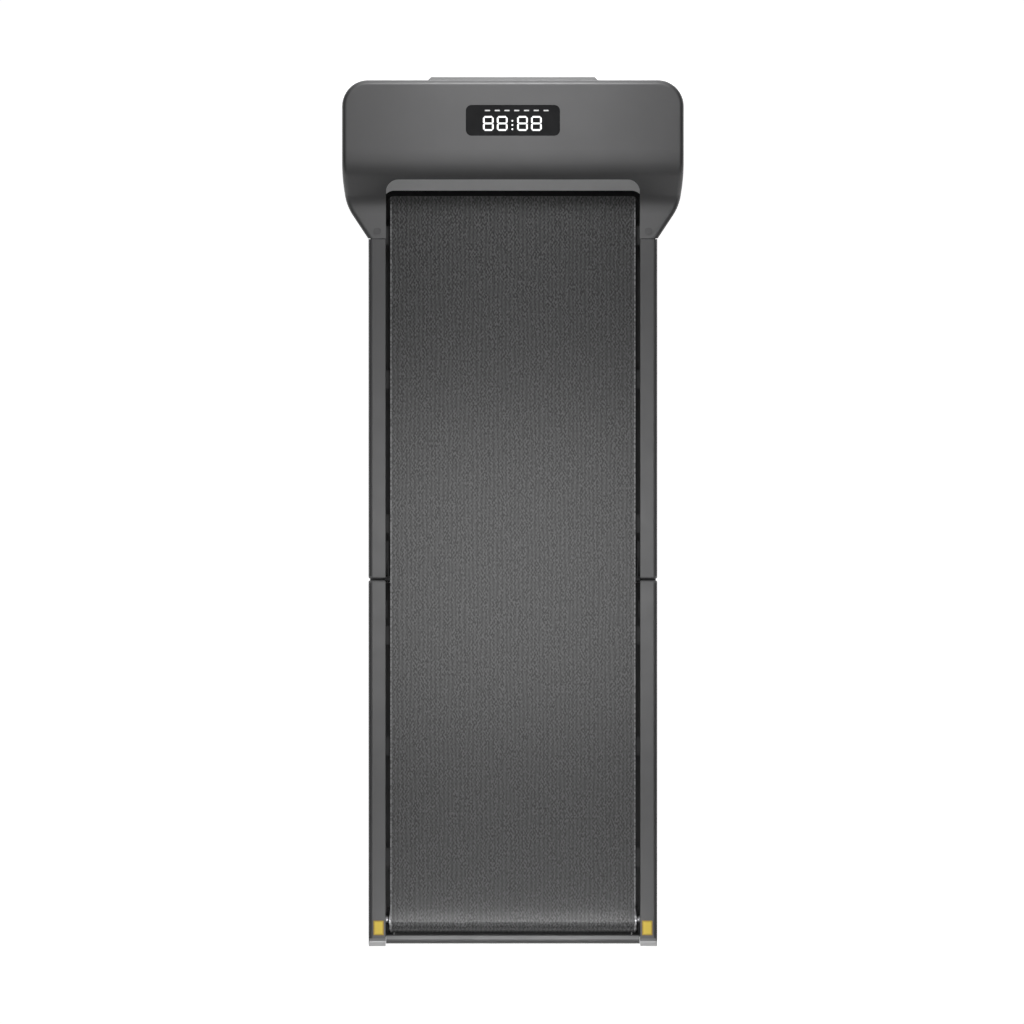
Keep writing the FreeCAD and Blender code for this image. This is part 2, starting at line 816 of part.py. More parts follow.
# Rail covers: moulded profiles with a skirt outside and a lip beside the belt
def rail_cover(name, rear, front):
    skirt_inner = rail_outer - dim.rail_wall
    under = deck_height - dim.rail_wall
    section = [
        (rail_inner, lip_bottom),
        (lip_inner_face, lip_bottom),
        (lip_inner_face, under),
        (skirt_inner, under, dim.rail_edge_round - dim.rail_wall, "radius"),
        (skirt_inner, dim.rail_skirt_height),
        (rail_outer, dim.rail_skirt_height),
        (rail_outer, deck_height, dim.rail_edge_round, "radius"),
        (rail_inner, deck_height, dim.rail_inner_round, "radius"),
    ]
    return prism_in_y(name, rear, front, section)


node_pair("front_rail_cover", rail_cover(
    "front_cover", front_end + dim.plug_thickness, arm_tip - dim.arm_seam))
node_pair("rear_rail_cover", rail_cover(
    "rear_cover", cap_front, rear_end - dim.plug_thickness))


# Plugs that close the rails at the fold: a plate with rounded edges and a tongue in the beam. A sill
# butted on the lip of the front beam closes the seam from below.
def edges_on_plane(shape, axis, place, test):
    """Names of the edges that lie on an axis plane and pass the test on their middle point."""
    names = []
    for index, edge in enumerate(shape.Edges, start=1):
        ends = [getattr(vertex.Point, axis) for vertex in edge.Vertexes]
        middle = edge.valueAt((edge.FirstParameter + edge.LastParameter) / 2)
        ends.append(getattr(middle, axis))
        if all(abs(end - place) < 1e-4 for end in ends) and test(middle):
            names.append(f"Edge{index}")
    return names


plug_back = front_end + dim.plug_thickness
front_plug = prism_in_y("front_plug", front_end, plug_back, [
    (rail_inner, dim.rail_skirt_height),
    (rail_outer, dim.rail_skirt_height),
    (rail_outer, deck_height, dim.rail_edge_round, "radius"),
    (rail_inner, deck_height, dim.rail_inner_round, "radius"),
])
plug_edges = edges_on_plane(
    front_plug.Shape, "y", front_end.value,
    lambda point: point.z > dim.rail_skirt_height.value + 0.1 and point.x > rail_inner.value + 2)
add_fillet(front_plug, front_plug.Tip, plug_edges, dim.plug_corner_round)
tongue_inset = dim.beam_wall + dim.plug_gap
tongue = new_sketch(front_plug, "XZ_Plane", along=-(plug_back + dim.plug_reach))
draw_outline(tongue, rectangle(
    beam_inner + tongue_inset, dim.beam_bottom + tongue_inset,
    beam_outer - tongue_inset, beam_top - tongue_inset, dim.beam_corner_round - dim.beam_wall))
add_pad(front_plug, tongue, dim.plug_reach)
front_plug_twin = mirror("front_plug_twin", front_plug)
sill = box("fold_sill", edge_lip_tip, rear_end - dim.sill_reach, edge_lip_bottom,
           rail_outer - dim.rail_wall - edge_lip_tip, plug_back - rear_end + dim.sill_reach,
           edge_lip_top - edge_lip_bottom)
node("front_fold_plugs", group("front_plug_set", front_plug, front_plug_twin,
                               sill, mirror("fold_sill_twin", sill)))
node("rear_fold_plugs", mirror_at_fold(
    "rear_plug_pair", group("rear_plug_source", front_plug, front_plug_twin)))


# Fold hinge: two flat leaves side by side in the channel beside the belt, on standoffs from the beams
rear_leaf_outer = rail_inner - dim.leaf_side_gap
rear_leaf_inner = rear_leaf_outer - dim.leaf_thickness
front_leaf_outer = rear_leaf_inner - dim.leaf_gap
front_leaf_inner = front_leaf_outer - dim.leaf_thickness
leaf_shoulder = lip_bottom - dim.leaf_lip_gap


def hinge_bracket(name, direction, inner_face):
    def at(offset):
        return fold_y + as_length(offset) * direction

    chord = dim.eye_radius * 0.62
    body = prism(name, "YZ_Plane", inner_face, dim.leaf_thickness, [
        (at(dim.leaf_inner_end), dim.leaf_bottom),
        (at(dim.leaf_outer_end), dim.leaf_bottom),
        (at(dim.leaf_outer_end), leaf_shoulder),
        (at(dim.leaf_neck), leaf_shoulder),
        (at(chord), fold_z + chord),
        (at(-chord), fold_z - chord),
    ])
    eye = new_sketch(body, "YZ_Plane", along=inner_face)
    draw_circle(eye, fold_y, fold_z, dim.eye_radius)
    add_pad(body, eye, dim.leaf_thickness)
    standoff = new_sketch(body, "YZ_Plane", along=inner_face + dim.leaf_thickness / 2)
    draw_outline(standoff, [
        (at(dim.leaf_inner_end), dim.leaf_bottom),
        (at(dim.leaf_outer_end), dim.leaf_bottom),
        (at(dim.leaf_outer_end), leaf_shoulder),
        (at(dim.leaf_inner_end), leaf_shoulder),
    ])
    add_pad(body, standoff, beam_inner - inner_face - dim.leaf_thickness / 2)
    bore = new_sketch(body, "YZ_Plane", along=inner_face + dim.leaf_thickness + 1)
    draw_circle(bore, fold_y, fold_z, dim.hinge_pin_radius + dim.running_fit)
    add_pocket(body, bore, dim.leaf_thickness + 2)
    return body


node_twins("front_hinge_brackets", hinge_bracket("front_hinge", 1, front_leaf_inner))
node_twins("rear_hinge_brackets", hinge_bracket("rear_hinge", -1, rear_leaf_inner))
node_twins("hinge_pins", turned("hinge_pin", fold_y, fold_z, [
    (front_leaf_inner - dim.hinge_head_thickness, 0),
    (front_leaf_inner - dim.hinge_head_thickness, dim.hinge_head_radius),
    (front_leaf_inner, dim.hinge_head_radius),
    (front_leaf_inner, dim.hinge_pin_radius),
    (rear_leaf_outer, dim.hinge_pin_radius),
    (rear_leaf_outer, 0),
]))


# Front roller on a driven shaft, with its bearings in the beams
pulley_start = beam_outer + dim.pulley_gap
pulley_end = pulley_start + dim.pulley_width
tube_shoulder = roller_end - dim.roller_chamfer
roller_neck = dim.roller_radius - dim.roller_chamfer
node("front_roller", turned("front_roller_turning", front_roller_y, roller_z, [
    (-beam_outer - 1, 0),
    (-beam_outer - 1, dim.front_shaft_radius),
    (-roller_end, dim.front_shaft_radius),
    (-roller_end, roller_neck),
    (-tube_shoulder, dim.roller_radius),
    (tube_shoulder, dim.roller_radius),
    (roller_end, roller_neck),
    (roller_end, dim.front_shaft_radius),
    (pulley_end + 2, dim.front_shaft_radius),
    (pulley_end + 2, 0),
]))
bearing_inner = dim.front_shaft_radius + dim.running_fit
node_twins("front_bearings", turned("front_bearing", front_roller_y, roller_z, [
    (beam_inner, bearing_inner),
    (beam_outer + dim.front_flange_thickness, bearing_inner),
    (beam_outer + dim.front_flange_thickness, dim.front_flange_radius),
    (beam_outer, dim.front_flange_radius),
    (beam_outer, dim.front_bearing_radius),
    (beam_inner, dim.front_bearing_radius),
]))


# Rear roller on a fixed axle that two bolts pull backwards in the beam slots
tube_bore = dim.roller_radius - dim.roller_tube_wall
node("rear_roller", turned("rear_roller_tube", rear_roller_y, roller_z, [
    (-roller_end, tube_bore),
    (-roller_end, roller_neck),
    (-tube_shoulder, dim.roller_radius),
    (tube_shoulder, dim.roller_radius),
    (roller_end, roller_neck),
    (roller_end, tube_bore),
]))
node_twins("rear_roller_bearings", turned("rear_bearing", rear_roller_y, roller_z, rectangle(
    roller_end - dim.rear_bearing_width, dim.rear_axle_radius + dim.running_fit,
    roller_end, tube_bore - dim.seat_fit)))
axle_end = beam_outer - dim.beam_wall - dim.rear_axle_end_gap
axle_bar = rod("rear_axle_bar", "x", -axle_end, rear_roller_y, roller_z,
               dim.rear_axle_radius, axle_end * 2)
bolt_start = rear_roller_y - dim.rear_axle_radius - 1
bolt_hole = rod("rear_axle_hole", "y", beam_middle, bolt_start, roller_z,
                dim.tension_bolt_radius + dim.tension_bolt_gap, dim.rear_axle_radius * 2 + 2)
node("rear_axle", cut("rear_axle_drilled", axle_bar, bolt_hole, mirror("rear_axle_hole_twin", bolt_hole)))

tension_blank = prism_in_y("tension_blank", cap_front, rear_beam_end, rectangle(
    beam_inner, dim.beam_bottom, beam_outer, beam_top, dim.beam_corner_round))
tension_hole = rod("tension_hole", "y", beam_middle, cap_front - 1, roller_z,
                   dim.tension_bolt_radius + dim.tension_bolt_gap, dim.tension_plate_thickness + 2)
node_twins("tension_plates", cut("tension_plate", tension_blank, tension_hole))
bolt_shank = rod("tension_shank", "y", beam_middle, cap_front - dim.tension_head_height / 2, roller_z,
                 dim.tension_bolt_radius,
                 rear_roller_y + dim.tension_bolt_reach - cap_front + dim.tension_head_height / 2)
bolt_head = rod("tension_head", "y", beam_middle, cap_front - dim.tension_head_height, roller_z,
                dim.tension_head_radius, dim.tension_head_height - dim.belt_gap)
socket = doc.addObject("Part::Prism", "tension_socket")
socket.Polygon = 6
socket.Placement = FreeCAD.Placement(Vector(0, 0, 0), TURNS["y"])
bind(socket, "Circumradius", dim.tension_bolt_radius)
bind(socket, "Height", dim.tension_head_height / 2)
bind(socket, "Placement.Base.x", beam_middle)
bind(socket, "Placement.Base.y", cap_front - dim.tension_head_height - 0.5)
bind(socket, "Placement.Base.z", roller_z)
node_pair("tension_bolt", cut("tension_bolt_cut", fuse("tension_bolt_solid", bolt_shank, bolt_head), socket))


# Rear end: rounded cap on each rail and a bar behind the roller with a lip below it
cap_body = prism("end_cap_block", "YZ_Plane", rail_inner, dim.rail_width, [
    (-half_length, dim.rail_skirt_height, dim.cap_edge_round, "radius"),
    (cap_front, dim.rail_skirt_height),
    (cap_front, deck_height),
    (-half_length, deck_height, dim.cap_round, "radius"),
])
cap_hole = rod("end_cap_hole", "y", beam_middle, -half_length - 1, roller_z,
               dim.cap_hole_radius, dim.cap_depth + 2)
cap_edges = []
for cap_side in (rail_inner, rail_outer):
    cap_edges += edges_on_plane(cap_body.Shape, "x", cap_side.value,
                                lambda point: point.y < cap_front.value - 0.1)
add_fillet(cap_body, cap_body.Tip, cap_edges, dim.cap_edge_round)
node_pair("rear_end_cap", cut("end_cap", cap_body, cap_hole))
guard_half = rail_inner - dim.rear_guard_gap
rear_guard = prism("rear_guard_bar", "YZ_Plane", -guard_half, guard_half * 2, [
    (rear_guard_back, dim.rear_guard_bottom, dim.rear_guard_round, "radius"),
    (rear_guard_front, dim.rear_guard_bottom),
    (rear_guard_front, dim.rear_guard_top, dim.rear_guard_round / 2, "radius"),
    (rear_guard_back, dim.rear_guard_top, dim.rear_guard_round * 2, "radius"),
])
rear_lip_half = edge_lip_tip - dim.rear_guard_gap
rear_lip_front = rear_guard_front + dim.rear_guard_belt_gap + dim.rear_lip_reach
rear_lip_back = rear_guard_front - dim.rear_lip_wall
rear_lip_root = dim.rear_guard_bottom + dim.rear_lip_wall
rear_lip = new_sketch(rear_guard, "YZ_Plane", along=-rear_lip_half)
draw_outline(rear_lip, [
    (rear_lip_back, edge_lip_bottom),
    (rear_lip_front, edge_lip_bottom),
    (rear_lip_front, edge_lip_top),
    (rear_guard_front, edge_lip_top),
    (rear_guard_front, rear_lip_root),
    (rear_lip_back, rear_lip_root),
])
add_pad(rear_guard, rear_lip, rear_lip_half * 2)
node("rear_guard", rear_guard)


# Walking belt: one half round each roller, meeting at the fold
def belt_half(name, end, centre):
    body = new_body(name)
    sketch = new_sketch(body, "YZ_Plane", along=-dim.belt_width / 2)
    draw_belt_band(sketch, end, centre, roller_z, belt_inner, belt_outer)
    add_pad(body, sketch, dim.belt_width)
    return body


node("belt_front", belt_half("belt_front_band", fold_y + dim.belt_split / 2, front_roller_y))
node("belt_rear", belt_half("belt_rear_band", fold_y - dim.belt_split / 2, rear_roller_y))


# Head outline in plan, drawn inset for the inside of the mouldings
def head_outline(inset, rear):
    side = head_half - inset
    hip = side - dim.hip_inset
    tip = rail_outer + dim.arm_overhang - inset
    hip_y = arm_tip + dim.hip_from_tip
    waist_y = hip_y + dim.waist_from_hip
    corner = dim.head_corner_round - inset
    return [
        (tip, rear),
        (hip, hip_y, dim.hip_blend, "blend"),
        (side, waist_y, dim.waist_blend, "blend"),
        (side, hood_front - inset, corner, "radius"),
        (-side, hood_front - inset, corner, "radius"),
        (-side, waist_y, dim.waist_blend, "blend"),
        (-hip, hip_y, dim.hip_blend, "blend"),
        (-tip, rear),
    ]


def upper_rim_edges(shape, rear):
    """Edges where the top of the head meets its upright sides, without the arm ends."""
    names = []
    for index, edge in enumerate(shape.Edges, start=1):
        middle = edge.valueAt((edge.FirstParameter + edge.LastParameter) / 2)
        slants = []
        for face in shape.ancestorsOfType(edge, Part.Face):
            u, v = face.Surface.parameter(middle)
            slants.append(face.normalAt(u, v).z)
        upright = [slant for slant in slants if abs(slant) < 1e-3]
        facing_up = [slant for slant in slants if slant > 0.2]
        if len(upright) == 1 and len(facing_up) == 1 and middle.y > rear + 0.1:
            names.append(f"Edge{index}")
    return names


def head_form(name, inset, bottom, rear):
    """The head as a solid: its plan outline, cut to the side profile, with a rounded upper rim."""
    body = new_body(name)
    plan = new_sketch(body, "XY_Plane", along=bottom)
    draw_outline(plan, head_outline(inset, rear))
    add_pad(body, plan, dim.head_height + 10 - bottom)
    rise = dim.head_height - deck_height
    run = dim.slope_run
    shift = inset * (((rise * rise + run * run).root() - run) / rise)
    slope_foot = arm_tip + dim.slope_from_tip + shift
    plateau = dim.head_height - inset
    landing = deck_height - inset
    profile = new_sketch(body, "YZ_Plane", along=head_half + 10)
    draw_outline(profile, [
        (rear - 20, landing),
        (slope_foot, landing, dim.foot_blend, "blend"),
        (slope_foot + dim.slope_run, plateau, dim.crest_blend, "blend"),
        (hood_front + 20, plateau),
        (hood_front + 20, plateau + 30),
        (rear - 20, plateau + 30),
    ])
    top_cut = add_pocket(body, profile, head_half * 2 + 20)
    add_fillet(body, top_cut, upper_rim_edges(body.Shape, rear.value), dim.head_edge_round - inset)
    return body


# Hood: the head form cored out, with the belt mouth between its arms
hood_outer = head_form("hood_outer", as_length(0), dim.hood_bottom, arm_tip)
hood_core = head_form("hood_core", dim.hood_wall, dim.hood_bottom - 2, arm_tip - dim.hood_wall)
mouth_rear = arm_tip - 20


def mouth_outline(grow, grow_front):
    side = rail_inner + grow
    front = mouth_y + grow_front
    corner = dim.mouth_corner_round + grow
    return [
        (-side, mouth_rear), (side, mouth_rear),
        (side, front, corner, "radius"), (-side, front, corner, "radius"),
    ]


mouth_cut = prism("mouth_cut", "XY_Plane", 0, dim.head_height + 20, mouth_outline(as_length(0), as_length(0)))
mouth_collar = prism("mouth_collar", "XY_Plane", 0, dim.head_height + 20,
                     mouth_outline(dim.rail_wall, dim.hood_wall))
cavity = cut("hood_cavity", hood_core, mouth_collar)
tunnel = box("belt_tunnel", -beam_inner, mouth_rear, 0, beam_inner * 2,
             mouth_y + dim.hood_wall + 5 - mouth_rear, lip_bottom)
mouth_slot_rear = mouth_y - dim.mouth_corner_round - 5
mouth_slot = box("mouth_slot", -rail_inner, mouth_slot_rear, 0, rail_inner * 2,
                 mouth_y + dim.hood_wall + 2 - mouth_slot_rear, guard_top)

flat_rear = arm_tip + dim.slope_from_tip + dim.slope_run + dim.crest_blend
flat_front = hood_front - dim.head_edge_round
window_y = (flat_rear + flat_front) / 2 - dim.window_offset


def window_outline(grow):
    return rectangle(-(dim.window_width / 2 + grow), window_y - dim.window_depth / 2 - grow,
                     dim.window_width / 2 + grow, window_y + dim.window_depth / 2 + grow,
                     dim.window_round + grow)


window_bottom = dim.head_height - dim.hood_wall
window_cut = prism("window_cut", "XY_Plane", window_bottom - 5, dim.hood_wall + 10,
                   window_outline(dim.window_gap))

panel_half = dim.panel_width / 2
frame_half = panel_half - dim.panel_rim
frame_bottom = dim.panel_bottom + dim.panel_rim
frame_height = dim.inlet_height + dim.panel_frame_margin * 2
panel_height = frame_height + dim.panel_rim * 2
panel_cut = box("panel_cut", -frame_half - dim.panel_gap, hood_front - dim.hood_wall - 5,
                frame_bottom - dim.panel_gap, (frame_half + dim.panel_gap) * 2, dim.hood_wall + 10,
                frame_height + dim.panel_gap * 2)

bumper_x = (rail_inner + rail_outer) / 2
bumper_hole = rod("bumper_hole", "z", bumper_x, bumper_y, deck_height - dim.hood_wall - 2,
                  dim.bumper_stem_radius + dim.seat_fit, dim.hood_wall + 4)
node("hood", cut("hood_shell", hood_outer, cavity, mouth_cut, tunnel, mouth_slot, window_cut, panel_cut,
                 bumper_hole, mirror("bumper_hole_twin", bumper_hole)))

bumper_pad = prism("bumper_pad", "XY_Plane", deck_height, dim.bumper_height, rectangle(
    bumper_x - dim.bumper_width / 2, bumper_y - dim.bumper_depth / 2,
    bumper_x + dim.bumper_width / 2, bumper_y + dim.bumper_depth / 2, dim.bumper_round))
bumper_stem = rod("bumper_stem", "z", bumper_x, bumper_y, deck_height - dim.hood_wall,
                  dim.bumper_stem_radius, dim.hood_wall + dim.bumper_height / 2)
node_twins("fold_bumpers", fuse("fold_bumper", bumper_pad, bumper_stem))

plate_x = (rail_inner + rail_outer) / 2 - dim.plate_offset
node_twins("rail_plates", prism("rail_plate", "XY_Plane", deck_height, dim.plate_thickness, rectangle(
    plate_x - dim.plate_width / 2, plate_y - dim.plate_depth / 2,
    plate_x + dim.plate_width / 2, plate_y + dim.plate_depth / 2, dim.plate_round)))


# Belt guard under the mouth wall, with a soft lip towards the belt
guard_side = rail_inner - dim.guard_side_gap
guard_rear = mouth_y - dim.guard_reach
guard_front = mouth_y + dim.hood_wall + dim.guard_tuck


def add_horns(body, rear, drop, run, bottom, thickness):
    """Carries both ends of a strip back along the sides of the mouth in a curve."""
    knee = run * 0.42
    bend = run * 0.4
    for side in (-1, 1):
        horn = new_sketch(body, "XY_Plane", along=bottom)
        draw_outline(horn, [
            (guard_side * side, rear - drop),
            (guard_side * side, rear + dim.lip_thickness),
            ((guard_side - run) * side, rear + dim.lip_thickness),
            ((guard_side - run) * side, rear),
            ((guard_side - knee) * side, rear, bend, "blend"),
        ])
        add_pad(body, horn, thickness)


guard_plate = prism("belt_guard_plate", "YZ_Plane", -guard_side, guard_side * 2, [
    (guard_rear, guard_bottom),
    (guard_front, guard_bottom),
    (guard_front, guard_top),
    (guard_rear, guard_top, dim.guard_edge_round, "radius"),
])
add_horns(guard_plate, guard_rear, dim.guard_horn, dim.guard_horn_run, guard_bottom, dim.guard_thickness)
node("belt_guard", guard_plate)
lip_rear = guard_rear - dim.lip_reach
lip_strip = prism("belt_guard_strip", "YZ_Plane", -guard_side, guard_side * 2, [
    (lip_rear, guard_bottom - dim.lip_thickness),
    (guard_rear + dim.lip_tuck, guard_bottom - dim.lip_thickness),
    (guard_rear + dim.lip_tuck, guard_bottom),
    (lip_rear, guard_bottom, dim.lip_thickness / 2, "radius"),
])
add_horns(lip_strip, lip_rear, dim.lip_horn, dim.lip_horn_run, guard_bottom - dim.lip_thickness,
          dim.lip_thickness)
node("belt_guard_lip", lip_strip)


# Display window with a flange under the hood, and the display board behind it
window = prism("window_plate", "XY_Plane", window_bottom, dim.hood_wall - dim.window_recess,
               window_outline(as_length(0)))
flange = new_sketch(window, "XY_Plane", along=window_bottom - dim.window_flange_thickness)
draw_outline(flange, window_outline(dim.window_flange))
add_pad(window, flange, dim.window_flange_thickness)
node("display_window", window)
display_top = window_bottom - dim.window_flange_thickness
display_bottom = display_top - dim.display_thickness
display_block = box("display_block", -dim.display_width / 2, window_y - dim.display_depth / 2, display_bottom,
                    dim.display_width, dim.display_depth, dim.display_thickness)
display_pcb = box("display_pcb", -(dim.display_width / 2 + dim.display_board_margin),
                  window_y - dim.display_depth / 2 - dim.display_board_margin,
                  display_bottom - dim.board_thickness,
                  dim.display_width + dim.display_board_margin * 2,
                  dim.display_depth + dim.display_board_margin * 2, dim.board_thickness)
node("display_board", fuse("display_unit", display_block, display_pcb))


# Front panel: a shallow bar with a vent grille, the power inlet and the switch
panel_face = half_length
panel_bar = prism("panel_bar", "XY_Plane", dim.panel_bottom, panel_height, [
    (-panel_half, hood_front), (panel_half, hood_front),
    (panel_half - dim.panel_end_slant, panel_face), (-(panel_half - dim.panel_end_slant), panel_face),
])
panel_back = hood_front - dim.hood_wall - dim.panel_inner_reach
panel_frame = box("panel_frame", -frame_half, panel_back, frame_bottom, frame_half * 2,
                  hood_front - panel_back + 1, frame_height)
panel_middle = dim.panel_bottom + panel_height / 2
panel_depth = panel_face - panel_back
inlet_middle = dim.inlet_from_end - panel_half
switch_middle = inlet_middle + dim.switch_from_inlet
inlet_hole = box("inlet_hole", inlet_middle - dim.inlet_width / 2 - dim.inlet_gap, panel_back - 1,
                 panel_middle - dim.inlet_height / 2 - dim.inlet_gap,
                 dim.inlet_width + dim.inlet_gap * 2, panel_depth + 2, dim.inlet_height + dim.inlet_gap * 2)
switch_hole = box("switch_hole", switch_middle - dim.switch_width / 2 - dim.inlet_gap, panel_back - 1,
                  panel_middle - dim.switch_height / 2 - dim.inlet_gap,
                  dim.switch_width + dim.inlet_gap * 2, panel_depth + 2,
                  dim.switch_height + dim.inlet_gap * 2)
vents = []
for i in range(9):
    vent_x = panel_half - dim.vent_from_end - dim.vent_pitch * i - dim.vent_width / 2
    vents.append(box(f"vent_{i}", vent_x, panel_back - 1, frame_bottom + dim.vent_margin, dim.vent_width,
                     panel_depth + 2, frame_height - dim.vent_margin * 2))
node("front_panel", cut("front_panel_cut", fuse("front_panel_solid", panel_bar, panel_frame),
                        inlet_hole, switch_hole, *vents))

inlet_face = panel_face - dim.inlet_recess
inlet_x = inlet_middle - dim.inlet_width / 2
inlet_z = panel_middle - dim.inlet_height / 2
inlet_shell = box("inlet_shell", inlet_x, inlet_face - dim.inlet_depth, inlet_z,
                  dim.inlet_width, dim.inlet_depth, dim.inlet_height)
inlet_rim = box("inlet_rim", inlet_x - dim.inlet_flange, panel_back - dim.inlet_flange,
                inlet_z, dim.inlet_width + dim.inlet_flange * 2, dim.inlet_flange, dim.inlet_height)
inlet_cavity = box("inlet_cavity", inlet_x + dim.inlet_wall, inlet_face - dim.inlet_cavity_depth,
                   inlet_z + dim.inlet_wall, dim.inlet_width - dim.inlet_wall * 2,
                   dim.inlet_cavity_depth + 1, dim.inlet_height - dim.inlet_wall * 2)
inlet_pins = []
for i in range(3):
    pin_z = panel_middle - dim.pin_height / 2
    pin_x = inlet_middle + dim.pin_pitch * (i - 1) - dim.pin_width / 2
    inlet_pins.append(box(f"inlet_pin_{i}", pin_x, inlet_face - dim.inlet_cavity_depth, pin_z,
                          dim.pin_width, dim.pin_length, dim.pin_height))
node("power_inlet", cut("inlet_housing", fuse("inlet_solid", inlet_shell, inlet_rim), inlet_cavity))
node("inlet_pins", group("inlet_pin_set", *inlet_pins))

switch_face = panel_face - dim.switch_recess
switch_x = switch_middle - dim.switch_width / 2
switch_z = panel_middle - dim.switch_height / 2
switch_shell = box("switch_shell", switch_x, switch_face - dim.switch_depth, switch_z,
                   dim.switch_width, dim.switch_depth, dim.switch_height)
switch_rim = box("switch_rim", switch_x - dim.inlet_flange, panel_back - dim.inlet_flange, switch_z,
                 dim.switch_width + dim.inlet_flange * 2, dim.inlet_flange, dim.switch_height)
rocker_room = dim.rocker_pivot_depth + dim.rocker_back + 3
switch_cavity = box("switch_cavity", switch_x + dim.switch_wall, switch_face - rocker_room,
                    switch_z + dim.switch_wall, dim.switch_width - dim.switch_wall * 2,
                    rocker_room + 1, dim.switch_height - dim.switch_wall * 2)
pivot_y = switch_face - dim.rocker_pivot_depth
pivot_hole = rod("pivot_hole", "z", switch_middle, pivot_y, switch_z - 1,
                 dim.rocker_pivot_radius + dim.running_fit, dim.switch_height + 2)
node("switch_frame", cut("switch_housing", fuse("switch_solid", switch_shell, switch_rim),
                         switch_cavity, pivot_hole))
rocker_half = dim.switch_width / 2 - dim.switch_wall - dim.rocker_gap - dim.rocker_rise
rocker_low = switch_z + dim.switch_wall + dim.rocker_gap
rocker_height = dim.switch_height - (dim.switch_wall + dim.rocker_gap) * 2
rocker_tip = dim.rocker_pivot_depth + dim.rocker_gap
rocker_key = prism("rocker_key", "XY_Plane", rocker_low, rocker_height, [
    (-rocker_half / 2, -dim.rocker_back),
    (rocker_half / 2, -dim.rocker_back),
    (rocker_half, rocker_tip - dim.rocker_edge),
    (rocker_half, rocker_tip),
    (0, rocker_tip - dim.rocker_rise),
    (-rocker_half, rocker_tip),
    (-rocker_half, rocker_tip - dim.rocker_edge),
])
rocker_key.Placement = FreeCAD.Placement(
    Vector(0, 0, 0), FreeCAD.Rotation(Vector(0, 0, 1), -dim.rocker_tilt.value))
bind(rocker_key, "Placement.Base.x", switch_middle)
bind(rocker_key, "Placement.Base.y", pivot_y)
rocker_pivot = rod("rocker_pivot", "z", switch_middle, pivot_y, switch_z + 0.2,
                   dim.rocker_pivot_radius, dim.switch_height - 0.4)
node("power_rocker", fuse("power_rocker_solid", rocker_key, rocker_pivot))


# Transport wheels at the lower front edge
wheel_x = head_half - dim.wheel_from_side
wheel_y = hood_front - dim.hood_wall - dim.wheel_front_gap - dim.wheel_radius
wheel_z = dim.wheel_lift + dim.wheel_radius
wheel_left_face = wheel_x - dim.wheel_width / 2
wheel_right_face = wheel_x + dim.wheel_width / 2
wheel_bore = dim.wheel_axle_radius + dim.running_fit
hub_edge = wheel_bore + dim.wheel_hub
rim_edge = dim.wheel_radius - dim.wheel_rim
node_pair("transport_wheel", turned("wheel_turning", wheel_y, wheel_z, [
    (wheel_left_face, wheel_bore),
    (wheel_right_face, wheel_bore),
    (wheel_right_face, hub_edge - dim.wheel_draft),
    (wheel_right_face - dim.wheel_dish, hub_edge),
    (wheel_right_face - dim.wheel_dish, rim_edge),
    (wheel_right_face, rim_edge + dim.wheel_draft),
    (wheel_right_face, dim.wheel_radius - dim.wheel_edge),
    (wheel_right_face - dim.wheel_edge, dim.wheel_radius),
    (wheel_left_face + dim.wheel_edge, dim.wheel_radius),
    (wheel_left_face, dim.wheel_radius - dim.wheel_edge),
    (wheel_left_face, rim_edge + dim.wheel_draft),
    (wheel_left_face + dim.wheel_dish, rim_edge),
    (wheel_left_face + dim.wheel_dish, hub_edge),
    (wheel_left_face, hub_edge - dim.wheel_draft),
]))
ear_inner = wheel_left_face - dim.wheel_side_gap - dim.ear_thickness
ear_outer = wheel_right_face + dim.wheel_side_gap
node_twins("wheel_axles", rod("wheel_axle", "x", ear_inner, wheel_y, wheel_z, dim.wheel_axle_radius,
                              ear_outer + dim.ear_thickness - ear_inner))


# Base pan: the lower half of the head, with wheel wells, axle ears and bosses under the tray
def pan_form(name, inset, bottom, top, rear):
    body = new_body(name)
    plan = new_sketch(body, "XY_Plane", along=bottom)
    draw_outline(plan, head_outline(inset, rear))
    add_pad(body, plan, top - bottom)
    wedge = new_sketch(body, "YZ_Plane", along=head_half + 10)
    slant_y = hood_front - dim.pan_chamfer - inset * math.sqrt(2)
    draw_outline(wedge, [
        (slant_y - 20, pan_bottom - 20),
        (slant_y + dim.pan_chamfer + 30, pan_bottom - 20),
        (slant_y + dim.pan_chamfer + 30, pan_bottom + dim.pan_chamfer + 30),
    ])
    add_pocket(body, wedge, head_half * 2 + 20)
    return body


pan_top = dim.hood_bottom - dim.pan_gap
pan_outer = pan_form("pan_outer", as_length(0), pan_bottom, pan_top, arm_tip)
pan_core = pan_form("pan_core", dim.pan_wall, pan_floor_top, pan_top + 5, arm_tip - 10)
pan_shell = cut("pan_shell", pan_outer, pan_core)
tray_rear = front_roller_y + belt_outer + dim.tray_from_belt
tray_front = wheel_y - dim.wheel_radius - dim.tray_from_wheel
tray_bottom = dim.beam_bottom - dim.tray_thickness
ear_box_inner = box("ear_inner", ear_inner, wheel_y - dim.ear_reach, pan_floor_top - 1, dim.ear_thickness,
                    dim.ear_reach * 2, wheel_z + dim.ear_reach - pan_floor_top + 1)
ear_box_outer = box("ear_outer", ear_outer, wheel_y - dim.ear_reach, pan_floor_top - 1, dim.ear_thickness,
                    dim.ear_reach * 2, wheel_z + dim.ear_reach - pan_floor_top + 1)
ears = fuse("wheel_ears", ear_box_inner, ear_box_outer)
bosses = []
